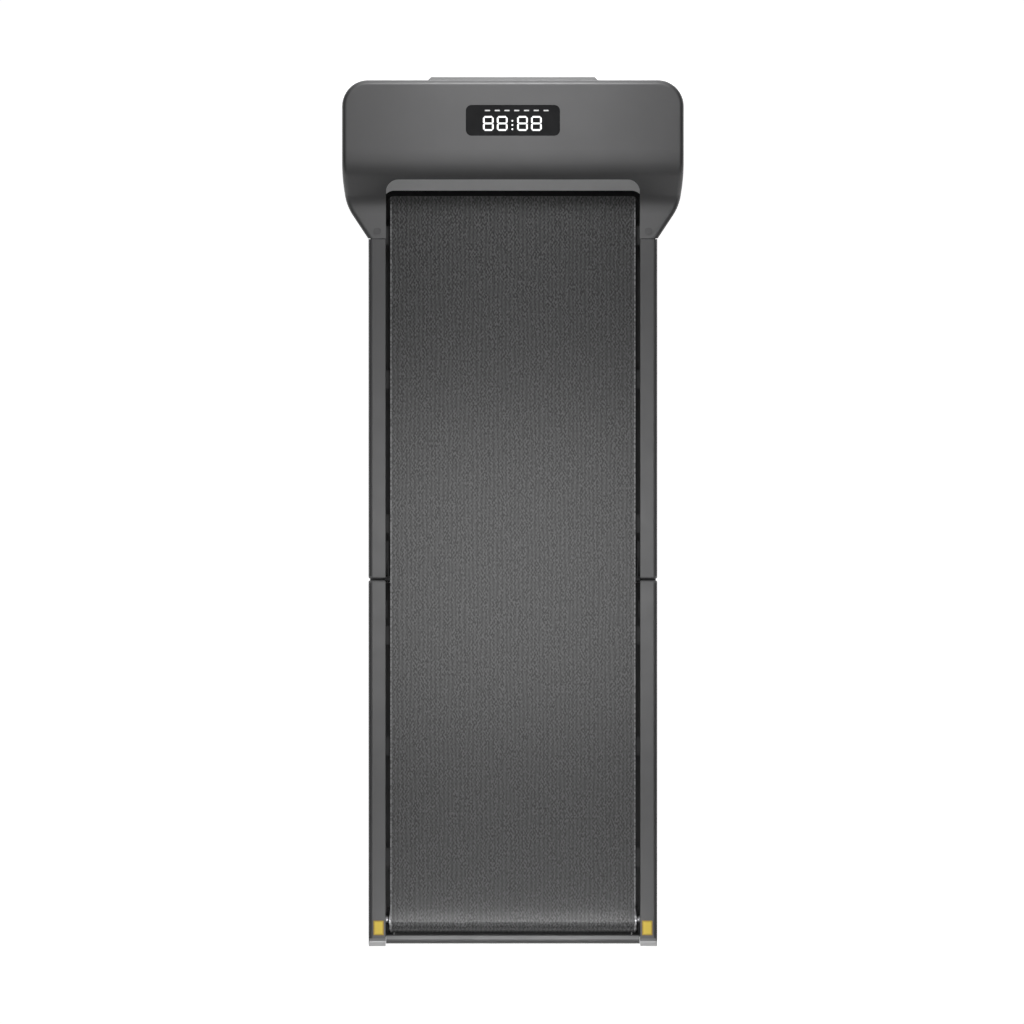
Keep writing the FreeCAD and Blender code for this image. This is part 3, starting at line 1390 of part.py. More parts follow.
for i, boss_x in enumerate((-dim.cushion_spread / 2, as_length(0), dim.cushion_spread / 2)):
    for j, boss_y in enumerate((tray_rear + dim.boss_inset, tray_front - dim.boss_inset)):
        bosses.append(rod(f"pan_boss_{i}_{j}", "z", boss_x, boss_y, pan_floor_top - 1, dim.boss_radius,
                          tray_bottom - pan_floor_top + 1))
pan_solid = fuse("pan_solid", pan_shell, ears, mirror("wheel_ears_twin", ears), *bosses)
pan_trim = prism("pan_trim", "YZ_Plane", -(head_half + 10), head_half * 2 + 20, [
    (hood_front - dim.pan_chamfer - 20, pan_bottom - 20),
    (hood_front + 30, pan_bottom - 20),
    (hood_front + 30, pan_bottom + dim.pan_chamfer + 30),
])
slot_rear = wheel_y - dim.wheel_radius - dim.wheel_slot_gap
wheel_slot = box("wheel_slot", wheel_left_face - dim.wheel_side_gap, slot_rear, 0,
                 dim.wheel_width + dim.wheel_side_gap * 2, hood_front + 5 - slot_rear, pan_top + 5)
axle_bore = rod("axle_bore", "x", ear_inner - 1, wheel_y, wheel_z, dim.wheel_axle_radius + dim.seat_fit,
                ear_outer + dim.ear_thickness - ear_inner + 2)
pan_cuts = fuse("pan_cuts", wheel_slot, axle_bore)
node("base_pan", cut("base_pan_cut", pan_solid, pan_trim, pan_cuts, mirror("pan_cuts_twin", pan_cuts)))


# Rubber feet
head_foot_y = hood_front - dim.head_foot_setback
head_foot = rod("head_foot", "z", dim.head_foot_spread / 2, head_foot_y, 0, dim.head_foot_radius,
                pan_bottom)
front_foot = rod("front_foot", "z", beam_middle, front_end + dim.foot_from_fold, 0, foot_radius,
                 dim.beam_bottom)
node("front_feet", group("front_feet_set", head_foot, mirror("head_foot_twin", head_foot),
                         front_foot, mirror("front_foot_twin", front_foot)))
fold_foot = rod("fold_foot", "z", beam_middle, rear_end - dim.foot_from_fold, 0, foot_radius,
                dim.beam_bottom)
end_foot = rod("end_foot", "z", beam_middle, dim.rear_foot_from_end - half_length, 0, foot_radius,
               dim.beam_bottom)
node("rear_feet", group("rear_feet_set", fold_foot, mirror("fold_foot_twin", fold_foot),
                        end_foot, mirror("end_foot_twin", end_foot)))


# Motor with its cradle, fan and pulley
motor_y = front_beam_end + dim.motor_beam_gap + dim.motor_radius
motor_z = dim.beam_bottom + dim.cradle_base + dim.motor_lift + dim.motor_radius
motor_right = pulley_start - dim.motor_pulley_gap
motor_left = motor_right - dim.motor_length
motor_bore = dim.motor_shaft_radius + dim.running_fit
node("motor_housing", turned("motor_can", motor_y, motor_z, [
    (motor_left, motor_bore),
    (motor_right, motor_bore),
    (motor_right, dim.motor_collar_radius),
    (motor_right - dim.motor_end_step, dim.motor_collar_radius),
    (motor_right - dim.motor_end_step, dim.motor_radius - dim.motor_chamfer),
    (motor_right - dim.motor_end_step - dim.motor_chamfer, dim.motor_radius),
    (motor_left + dim.motor_end_step + dim.motor_chamfer, dim.motor_radius),
    (motor_left + dim.motor_end_step, dim.motor_radius - dim.motor_chamfer),
    (motor_left + dim.motor_end_step, dim.motor_collar_radius),
    (motor_left, dim.motor_collar_radius),
]))
fan_right = motor_left - dim.fan_gap
fan_left = fan_right - dim.fan_thickness
hub_radius = dim.motor_shaft_radius + dim.fan_hub
node("motor_rotor", turned("motor_rotor_turning", motor_y, motor_z, [
    (fan_left - 2, 0),
    (fan_left - 2, dim.motor_shaft_radius),
    (fan_left, dim.motor_shaft_radius),
    (fan_left, hub_radius),
    (fan_right - dim.fan_web, hub_radius),
    (fan_right - dim.fan_web, dim.fan_radius - dim.fan_rim),
    (fan_left, dim.fan_radius - dim.fan_rim),
    (fan_left, dim.fan_radius),
    (fan_right, dim.fan_radius),
    (fan_right, dim.motor_shaft_radius),
    (pulley_end + 1, dim.motor_shaft_radius),
    (pulley_end + 1, 0),
]))
hub_bore = dim.motor_shaft_radius + dim.seat_fit


def grooved_pulley(name, centre_y, centre_z, bore, radius):
    """A belt pulley with two flanges and a row of V grooves."""
    flange = radius + dim.drive_belt_thickness - 1
    first = pulley_start + dim.pulley_flange
    pitch = (dim.pulley_width - dim.pulley_flange * 2) / 5
    profile = [(pulley_start, bore), (pulley_end, bore), (pulley_end, flange),
               (pulley_end - dim.pulley_flange, flange), (pulley_end - dim.pulley_flange, radius)]
    for k in range(4, 0, -1):
        groove = first + pitch * k
        profile.append((groove + pitch * 0.3, radius))
        profile.append((groove, radius - dim.pulley_groove))
        profile.append((groove - pitch * 0.3, radius))
    profile += [(first, radius), (first, flange), (pulley_start, flange)]
    return turned(name, centre_y, centre_z, profile)


node("front_pulley", grooved_pulley("front_pulley_wheel", front_roller_y, roller_z,
                                    dim.front_shaft_radius + dim.seat_fit, dim.roller_pulley_radius))
node("motor_pulley", grooved_pulley("motor_pulley_wheel", motor_y, motor_z, hub_bore,
                                    dim.motor_pulley_radius))

drive_belt = new_body("drive_belt_loop")
drive_sketch = new_sketch(drive_belt, "YZ_Plane", along=pulley_start + dim.pulley_flange + dim.drive_belt_gap)
for extra in (dim.drive_belt_gap, dim.drive_belt_gap + dim.drive_belt_thickness):
    draw_pulley_loop(drive_sketch, (front_roller_y, roller_z), dim.roller_pulley_radius + extra,
                     (motor_y, motor_z), dim.motor_pulley_radius + extra)
add_pad(drive_belt, drive_sketch, dim.pulley_width - dim.pulley_flange * 2 - dim.drive_belt_gap * 2)
node("drive_belt", drive_belt)

cradle_x = motor_left + dim.cradle_inset
cradle_z = dim.beam_bottom + dim.cradle_base
cradle_plate = box("cradle_plate", cradle_x, motor_y - dim.cradle_half_depth, dim.beam_bottom,
                   dim.cradle_length, dim.cradle_half_depth * 2, dim.cradle_base)
rib_height = motor_z - dim.cradle_below_axis - cradle_z
cradle_ribs = []
for i, rib_x in enumerate((cradle_x, cradle_x + dim.cradle_length - dim.cradle_rib)):
    cradle_ribs.append(box(f"cradle_rib_{i}", rib_x, motor_y - dim.cradle_half_depth, cradle_z,
                           dim.cradle_rib, dim.cradle_half_depth * 2, rib_height))
cradle_round = rod("cradle_round", "x", cradle_x - 1, motor_y, motor_z, dim.motor_radius + dim.running_fit,
                   dim.cradle_length + 2)
node("motor_bracket", cut("motor_bracket_cut", fuse("motor_bracket_solid", cradle_plate, *cradle_ribs),
                          cradle_round))


# Head tray that ties the beams and carries the drive, and the controller on its standoffs
board_x = dim.controller_inset - beam_outer
board_y = tray_rear + dim.controller_margin
board_depth = tray_front - dim.controller_margin - board_y
board_z = dim.beam_bottom + dim.controller_lift
board_top = board_z + dim.board_thickness
sink_left = board_x + dim.sink_inset
capacitor_pitch = dim.capacitor_radius * 2 + dim.capacitor_gap
first_capacitor = sink_left + dim.sink_width + dim.capacitor_gap + dim.capacitor_radius
board_width = first_capacitor + capacitor_pitch + dim.capacitor_radius + dim.capacitor_end_margin - board_x
node("controller_board", box("controller_pcb", board_x, board_y, board_z, board_width,
                             board_depth, dim.board_thickness))
standoffs = []
for i, inset_x in enumerate((dim.standoff_inset, board_width - dim.standoff_inset)):
    for j, inset_y in enumerate((dim.standoff_inset, board_depth - dim.standoff_inset)):
        standoffs.append(rod(f"standoff_{i}_{j}", "z", board_x + inset_x, board_y + inset_y, tray_bottom,
                             dim.standoff_radius, dim.tray_thickness + dim.controller_lift))
tray_ear_end = front_beam_end - dim.tray_ear_reach
tray_plate = prism("head_tray_plate", "XY_Plane", tray_bottom, dim.tray_thickness, [
    (-beam_outer, tray_ear_end), (-beam_inner, tray_ear_end), (-beam_inner, tray_rear),
    (beam_inner, tray_rear), (beam_inner, tray_ear_end), (beam_outer, tray_ear_end),
    (beam_outer, tray_front), (-beam_outer, tray_front),
])
node("head_tray", fuse("head_tray_solid", tray_plate, *standoffs))
sink_rear = board_y + dim.sink_margin
sink_depth = board_depth - dim.sink_margin * 2
sink_top = board_top + dim.sink_base + dim.sink_fin_height
fin_pitch = (dim.sink_width - dim.sink_fin) / 7
comb = [(sink_left, board_top), (sink_left + dim.sink_width, board_top)]
for k in range(7, -1, -1):
    fin_left = sink_left + fin_pitch * k
    comb.append((fin_left + dim.sink_fin, sink_top))
    comb.append((fin_left, sink_top))
    if k > 0:
        comb.append((fin_left, board_top + dim.sink_base))
        comb.append((fin_left - fin_pitch + dim.sink_fin, board_top + dim.sink_base))
node("controller_heatsink", prism_in_y("heatsink_comb", sink_rear, sink_rear + sink_depth, comb))
capacitors = []
for i in range(2):
    capacitors.append(rod(f"capacitor_{i}", "z", first_capacitor + capacitor_pitch * i,
                          board_y + board_depth / 2, board_top, dim.capacitor_radius, dim.capacitor_height))
node("controller_capacitors", group("capacitor_set", *capacitors))


# Checks and export
doc.recompute()
faults = []
for item in doc.Objects:
    if "Invalid" in item.State or "Error" in item.State:
        faults.append(f"{item.Name}: {item.State}")
for item in nodes:
    if item.Shape.isNull() or not item.Shape.isValid() or item.Shape.Volume <= 0:
        faults.append(f"{item.Label}: empty or invalid shape")
if faults:
    raise RuntimeError("; ".join(faults))

os.makedirs("parts", exist_ok=True)
for item in nodes:
    item.Shape.exportStep(os.path.join("parts", f"{item.Label}.step"))
print(f"{len(nodes)} parts written")
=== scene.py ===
import math

import bmesh
import bpy
from mathutils import Matrix, Vector


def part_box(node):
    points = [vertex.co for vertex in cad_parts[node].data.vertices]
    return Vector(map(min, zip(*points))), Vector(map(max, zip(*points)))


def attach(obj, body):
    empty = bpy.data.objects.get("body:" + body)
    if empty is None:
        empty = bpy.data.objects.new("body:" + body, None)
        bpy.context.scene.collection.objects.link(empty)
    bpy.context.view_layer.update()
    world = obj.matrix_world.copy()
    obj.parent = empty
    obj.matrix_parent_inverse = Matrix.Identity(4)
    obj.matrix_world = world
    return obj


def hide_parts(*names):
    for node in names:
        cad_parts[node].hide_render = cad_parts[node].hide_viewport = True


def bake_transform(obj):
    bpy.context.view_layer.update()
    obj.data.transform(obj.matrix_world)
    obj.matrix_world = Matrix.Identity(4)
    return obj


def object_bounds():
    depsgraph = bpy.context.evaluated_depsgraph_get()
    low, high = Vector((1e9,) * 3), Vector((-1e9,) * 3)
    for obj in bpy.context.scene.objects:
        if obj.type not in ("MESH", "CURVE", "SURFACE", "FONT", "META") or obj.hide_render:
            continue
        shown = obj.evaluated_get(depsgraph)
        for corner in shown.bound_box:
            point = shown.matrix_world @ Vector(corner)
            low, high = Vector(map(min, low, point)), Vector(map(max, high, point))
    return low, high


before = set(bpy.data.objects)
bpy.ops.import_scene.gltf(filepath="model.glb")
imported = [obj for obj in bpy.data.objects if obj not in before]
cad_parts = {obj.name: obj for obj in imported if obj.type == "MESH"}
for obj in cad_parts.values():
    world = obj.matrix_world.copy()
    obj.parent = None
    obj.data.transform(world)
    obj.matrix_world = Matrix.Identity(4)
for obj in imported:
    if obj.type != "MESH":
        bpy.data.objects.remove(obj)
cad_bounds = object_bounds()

MM = 0.001

# Places read from the frame
window_low, window_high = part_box("display_window")
belt_front_low, belt_front_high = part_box("belt_front")
belt_rear_low, belt_rear_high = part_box("belt_rear")
plates_low, plates_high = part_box("rail_plates")
rail_inner_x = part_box("front_rail_cover_right")[0].x
cap_rear_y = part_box("rear_end_cap_right")[0].y
bar_rear_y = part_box("rear_guard")[0].y
FOLD_Y = (belt_front_low.y + belt_rear_high.y) / 2
FLOOR_Z = cad_bounds[0].z

# Yellow plates, and the painted highlight strips on the end caps and the rear bar
PLATE_Y = (plates_low.y + plates_high.y) / 2
PLATE_LENGTH = plates_high.y - plates_low.y
PLATE_WIDTH = 17 * MM
PLATE_X = plates_high.x - PLATE_WIDTH / 2
CAP_PAINTED_HIGHLIGHT = (cap_rear_y - 1.0 * MM, cap_rear_y + 8.9 * MM)
BAR_PAINTED_HIGHLIGHT = (bar_rear_y + 7.2 * MM, bar_rear_y + 12.3 * MM)


# Node helpers for procedural finishes

def new_material(name):
    material = bpy.data.materials.new(name)
    material.use_nodes = True
    tree = material.node_tree
    return material, tree, tree.nodes["Principled BSDF"]


def place(tree, stretch=(1.0, 1.0, 1.0)):
    """Position in the frame, stretched along its axes."""
    coordinates = tree.nodes.new("ShaderNodeTexCoord")
    mapping = tree.nodes.new("ShaderNodeMapping")
    mapping.inputs["Scale"].default_value = stretch
    tree.links.new(coordinates.outputs["Object"], mapping.inputs["Vector"])
    return mapping.outputs["Vector"]


def noise(tree, size, detail=2.0, stretch=(1.0, 1.0, 1.0)):
    """Noise whose blobs are about size metres wide."""
    node = tree.nodes.new("ShaderNodeTexNoise")
    node.inputs["Scale"].default_value = 1.0 / size
    node.inputs["Detail"].default_value = detail
    tree.links.new(place(tree, stretch), node.inputs["Vector"])
    return node.outputs["Fac"]


def ramp(tree, factor, stops):
    """A colour or grey that follows a factor through (position, value) stops."""
    node = tree.nodes.new("ShaderNodeValToRGB")
    elements = node.color_ramp.elements
    while len(elements) < len(stops):
        elements.new(0.5)
    for element, (position, value) in zip(elements, stops):
        colour = value if isinstance(value, tuple) else (value, value, value)
        element.position = position
        element.color = (*colour, 1.0)
    tree.links.new(factor, node.inputs["Fac"])
    return node.outputs["Color"]


def combine(tree, operation, first, second):
    """Two fields put together, point by point."""
    node = tree.nodes.new("ShaderNodeMath")
    node.operation = operation
    for socket, value in zip(node.inputs, (first, second)):
        if isinstance(value, float):
            socket.default_value = value
        else:
            tree.links.new(value, socket)
    return node.outputs["Value"]


def absolute(tree, value):
    return combine(tree, "ABSOLUTE", value, 0.0)


def spot_axes(tree):
    """The X and the Y of the position in the frame."""
    split = tree.nodes.new("ShaderNodeSeparateXYZ")
    tree.links.new(place(tree), split.inputs["Vector"])
    return split.outputs["X"], split.outputs["Y"]


def raise_surface(tree, shader, height, depth):
    """Fine relief, depth metres between the bottom and the top of the height field."""
    node = tree.nodes.new("ShaderNodeBump")
    node.inputs["Strength"].default_value = 1.0
    node.inputs["Distance"].default_value = depth
    tree.links.new(height, node.inputs["Height"])
    tree.links.new(node.outputs["Normal"], shader.inputs["Normal"])


def shade(colour, amount):
    """A colour made darker or lighter."""
    return tuple(channel * amount for channel in colour)


def mottle(tree, shader, colour, roughness, cloud, spread, rough_spread):
    """Slow changes of tone and gloss over the surface."""
    tone = noise(tree, cloud, detail=3.0)
    tree.links.new(
        ramp(tree, tone, [(0.3, shade(colour, 1 - spread)), (0.7, shade(colour, 1 + spread))]),
        shader.inputs["Base Color"])
    gloss = noise(tree, cloud * 0.35, detail=4.0)
    tree.links.new(
        ramp(tree, gloss, [(0.3, roughness - rough_spread), (0.7, roughness + rough_spread)]),
        shader.inputs["Roughness"])


def tint(tree, shader, factor):
    """Multiplies the colour by a factor that changes over the surface."""
    product = tree.nodes.new("ShaderNodeMix")
    product.data_type = "RGBA"
    product.blend_type = "MULTIPLY"
    product.inputs["Factor"].default_value = 1.0
    tone = shader.inputs["Base Color"].links[0].from_socket
    tree.links.new(tone, product.inputs["A"])
    tree.links.new(factor, product.inputs["B"])
    tree.links.new(product.outputs["Result"], shader.inputs["Base Color"])


def paint_side_shade(tree, shader, amount):
    """Painted shade: turns the colour darker where the surface faces left or right."""
    geometry = tree.nodes.new("ShaderNodeNewGeometry")
    split = tree.nodes.new("ShaderNodeSeparateXYZ")
    tree.links.new(geometry.outputs["Normal"], split.inputs["Vector"])
    sideways = absolute(tree, split.outputs["X"])
    tint(tree, shader, ramp(tree, sideways, [(0.12, 1.0), (0.6, amount)]))


def paint_highlight_strip(tree, shader, low, high, amount):
    """Painted highlight and shade: keeps the colour inside a strip between two lines across the pad and turns
    it darker outside.
    """
    spot_y = spot_axes(tree)[1]
    inside = combine(tree, "MULTIPLY", combine(tree, "GREATER_THAN", spot_y, low),
                     combine(tree, "LESS_THAN", spot_y, high))
    tint(tree, shader, ramp(tree, inside, [(0.0, amount), (1.0, 1.0)]))


# Finishes

def moulded(name, colour, roughness, side_shade=None, painted_highlight=None):
    """Satin moulded plastic with a fine spark-eroded grain, with painted shade on faces that turn left or
    right where asked, and in two tones, a painted highlight strip and a darker rest, where it has a strip.
    """
    material, tree, shader = new_material(name)
    mottle(tree, shader, colour, roughness, cloud=90 * MM, spread=0.04, rough_spread=0.035)
    if side_shade:
        paint_side_shade(tree, shader, side_shade)
    if painted_highlight:
        paint_highlight_strip(tree, shader, *painted_highlight)
    raise_surface(tree, shader, noise(tree, 0.7 * MM, detail=2.0), 0.03 * MM)
    return material


def gloss_plastic(name, colour, roughness):
    """Polished plastic with faint smears."""
    material, tree, shader = new_material(name)
    mottle(tree, shader, colour, roughness, cloud=50 * MM, spread=0.1, rough_spread=roughness * 0.35)
    raise_surface(tree, shader, noise(tree, 12 * MM, detail=1.0), 0.01 * MM)
    return material


def coated_steel(name, colour, roughness):
    """Powder coat with its orange peel."""
    material, tree, shader = new_material(name)
    shader.inputs["Specular IOR Level"].default_value = 0.3
    mottle(tree, shader, colour, roughness, cloud=40 * MM, spread=0.08, rough_spread=0.05)
    raise_surface(tree, shader, noise(tree, 1.6 * MM, detail=1.5), 0.05 * MM)
    return material


def bare_metal(name, colour, roughness, stretch):
    """Worked metal with fine lines along its length or round its turn."""
    material, tree, shader = new_material(name)
    shader.inputs["Metallic"].default_value = 1.0
    lines = noise(tree, 0.6 * MM, detail=3.0, stretch=stretch)
    tree.links.new(ramp(tree, lines, [(0.3, shade(colour, 0.86)), (0.7, shade(colour, 1.08))]),
                   shader.inputs["Base Color"])
    tree.links.new(ramp(tree, lines, [(0.3, roughness - 0.06), (0.7, roughness + 0.06)]),
                   shader.inputs["Roughness"])
    raise_surface(tree, shader, lines, 0.012 * MM)
    return material


def rubber(name, colour, roughness=0.75):
    """Dull rubber with a dusty, slightly pitted skin."""
    material, tree, shader = new_material(name)
    shader.inputs["Specular IOR Level"].default_value = 0.3
    mottle(tree, shader, colour, roughness, cloud=20 * MM, spread=0.14, rough_spread=0.06)
    raise_surface(tree, shader, noise(tree, 0.9 * MM, detail=3.0), 0.05 * MM)
    return material


def filmed_board(name, colour):
    """Deck board with a waxed film over its long grain."""
    material, tree, shader = new_material(name)
    grain = noise(tree, 9 * MM, detail=6.0, stretch=(1.0, 0.06, 1.0))
    tree.links.new(ramp(tree, grain, [(0.35, shade(colour, 0.7)), (0.65, shade(colour, 1.3))]),
                   shader.inputs["Base Color"])
    tree.links.new(ramp(tree, grain, [(0.3, 0.38), (0.7, 0.5)]), shader.inputs["Roughness"])
    raise_surface(tree, shader, grain, 0.04 * MM)
    return material


def circuit_board(name, colour):
    """Solder mask with copper tracks under it."""
    material, tree, shader = new_material(name)
    tracks = tree.nodes.new("ShaderNodeTexBrick")
    tracks.inputs["Scale"].default_value = 70.0
    tracks.inputs["Mortar Size"].default_value = 0.06
    tracks.inputs["Color1"].default_value = (*colour, 1.0)
    tracks.inputs["Color2"].default_value = (*shade(colour, 0.8), 1.0)
    tracks.inputs["Mortar"].default_value = (*shade(colour, 1.7), 1.0)
    tree.links.new(place(tree), tracks.inputs["Vector"])
    tree.links.new(tracks.outputs["Color"], shader.inputs["Base Color"])
    tree.links.new(ramp(tree, tracks.outputs["Fac"], [(0.0, 0.35), (1.0, 0.5)]), shader.inputs["Roughness"])
    raise_surface(tree, shader, tracks.outputs["Fac"], 0.04 * MM)
    return material


def lit_marks(name, colour, strength):
    """Light behind the display window, a little uneven over the segments."""
    material, tree, shader = new_material(name)
    shader.inputs["Roughness"].default_value = 0.4
    shader.inputs["Base Color"].default_value = (*shade(colour, 0.6), 1.0)
    glow = noise(tree, 6 * MM, detail=1.0)
    tree.links.new(ramp(tree, glow, [(0.3, shade(colour, 0.9)), (0.7, colour)]),
                   shader.inputs["Emission Color"])
    shader.inputs["Emission Strength"].default_value = strength
    return material


def rimmed_plate(name, colour, rim):
    """Glossy plate that turns to amber at its border."""
    material, tree, shader = new_material(name)
    spot_x, spot_y = spot_axes(tree)
    across = absolute(tree, combine(tree, "SUBTRACT", absolute(tree, spot_x), PLATE_X))
    along = absolute(tree, combine(tree, "SUBTRACT", spot_y, PLATE_Y))
    nearest = combine(tree, "MINIMUM", combine(tree, "SUBTRACT", PLATE_WIDTH / 2, across),
                      combine(tree, "SUBTRACT", PLATE_LENGTH / 2, along))
    inward = combine(tree, "DIVIDE", nearest, PLATE_WIDTH / 2)
    cloudy = combine(tree, "ADD", inward, combine(tree, "MULTIPLY", noise(tree, 3 * MM), 0.1))
    tree.links.new(ramp(tree, cloudy, [(0.05, rim), (0.42, colour)]), shader.inputs["Base Color"])
    tree.links.new(ramp(tree, noise(tree, 4 * MM), [(0.3, 0.42), (0.7, 0.52)]), shader.inputs["Roughness"])
    raise_surface(tree, shader, noise(tree, 1.5 * MM), 0.01 * MM)
    return material


def drifted(tree, size, amount, stretch):
    """Position in the frame, pushed by up to amount along each axis, so that a pattern laid on it wanders."""
    cloud = tree.nodes.new("ShaderNodeTexNoise")
    cloud.inputs["Scale"].default_value = 1.0 / size
    cloud.inputs["Detail"].default_value = 1.0
    tree.links.new(place(tree, stretch), cloud.inputs["Vector"])
    push = tree.nodes.new("ShaderNodeVectorMath")
    push.operation = "MULTIPLY_ADD"
    push.inputs[1].default_value = amount
    tree.links.new(cloud.outputs["Color"], push.inputs[0])
    tree.links.new(place(tree), push.inputs[2])
    return push.outputs["Vector"]


def wave(tree, spot, direction, period):
    """Bands from -0.5 to 0.5 that repeat every period metres."""
    node = tree.nodes.new("ShaderNodeTexWave")
    node.wave_type = "BANDS"
    node.bands_direction = direction
    node.inputs["Scale"].default_value = math.pi / 10 / period
    tree.links.new(spot, node.inputs["Vector"])
    return combine(tree, "SUBTRACT", node.outputs["Fac"], 0.5)


# Belt cover: columns along the belt, knots and speckle that come and go in patches, and edges lighter in
# thread-like streaks
BELT_HALF_WIDTH = belt_front_high.x
BELT_COLOUR = (0.052, 0.052, 0.053)
BELT_RELIEF = 0.05 * MM
BELT_EDGE = 2.2 * MM
EDGE_LIGHTNESS = 5.0
THREAD_SIZE = 5 * MM
COLUMN_PERIOD = 6.7 * MM
COLUMN_STRENGTH = 0.44
COLUMN_DRIFT = (8.0 * MM, 0.0, 0.0)
COLUMN_CLOUD = 20 * MM
KNOT_ACROSS = 5.2 * MM
KNOT_ALONG = 8.05 * MM
KNOT_STRENGTH = 2.9
KNOT_DRIFT = (3.0 * MM, 11.0 * MM, 0.0)
KNOT_CLOUD = 14 * MM
SPECKLE_SIZE = 2.0 * MM
SPECKLE_STRENGTH = 5.0
PATCH_SIZE = 8 * MM


def woven_belt(name):
    """Belt cover with a small staggered weave, smoother in patches and pale at its cut edges."""
    material, tree, shader = new_material(name)
    shader.inputs["Specular IOR Level"].default_value = 0.4
    spot = drifted(tree, KNOT_CLOUD, KNOT_DRIFT, (1.0, 0.4, 1.0))
    across = wave(tree, spot, "X", KNOT_ACROSS)
    along = wave(tree, spot, "Y", KNOT_ALONG)
    knots = combine(tree, "MULTIPLY", combine(tree, "MULTIPLY", across, along), KNOT_STRENGTH)
    line = drifted(tree, COLUMN_CLOUD, COLUMN_DRIFT, (1.0, 0.25, 1.0))
    columns = combine(tree, "MULTIPLY", wave(tree, line, "X", COLUMN_PERIOD), COLUMN_STRENGTH)
    grit = noise(tree, SPECKLE_SIZE, detail=1.0, stretch=(1.0, 0.5, 1.0))
    speckle = combine(tree, "MULTIPLY", combine(tree, "SUBTRACT", grit, 0.5), SPECKLE_STRENGTH)
    patches = noise(tree, PATCH_SIZE, detail=2.0, stretch=(1.0, 0.3, 1.0))
    contrast = ramp(tree, patches, [(0.4, 0.2), (0.6, 1.0)])
    weave = combine(tree, "MULTIPLY", combine(tree, "ADD", knots, speckle), contrast)
    relief = combine(tree, "ADD", combine(tree, "ADD", weave, columns), 0.5)
    colour = ramp(tree, relief, [(0.0, shade(BELT_COLOUR, 0.42)), (0.5, BELT_COLOUR),
                                 (1.0, shade(BELT_COLOUR, 1.75))])
    sideways = absolute(tree, spot_axes(tree)[0])
    edge = combine(tree, "GREATER_THAN", sideways, BELT_HALF_WIDTH - BELT_EDGE)
    threads = noise(tree, THREAD_SIZE, detail=1.0, stretch=(0.2, 1.0, 1.0))
    light_edge_streaks = combine(tree, "MULTIPLY", edge, ramp(tree, threads, [(0.42, 0.3), (0.56, 1.0)]))
    cut_edge = tree.nodes.new("ShaderNodeMix")
    cut_edge.data_type = "RGBA"
    cut_edge.inputs["B"].default_value = (*shade(BELT_COLOUR, EDGE_LIGHTNESS), 1.0)
    tree.links.new(light_edge_streaks, cut_edge.inputs["Factor"])
    tree.links.new(colour, cut_edge.inputs["A"])
    tree.links.new(cut_edge.outputs["Result"], shader.inputs["Base Color"])
    tree.links.new(ramp(tree, relief, [(0.1, 0.4), (1.0, 0.32)]), shader.inputs["Roughness"])
    raise_surface(tree, shader, relief, BELT_RELIEF)
    return material


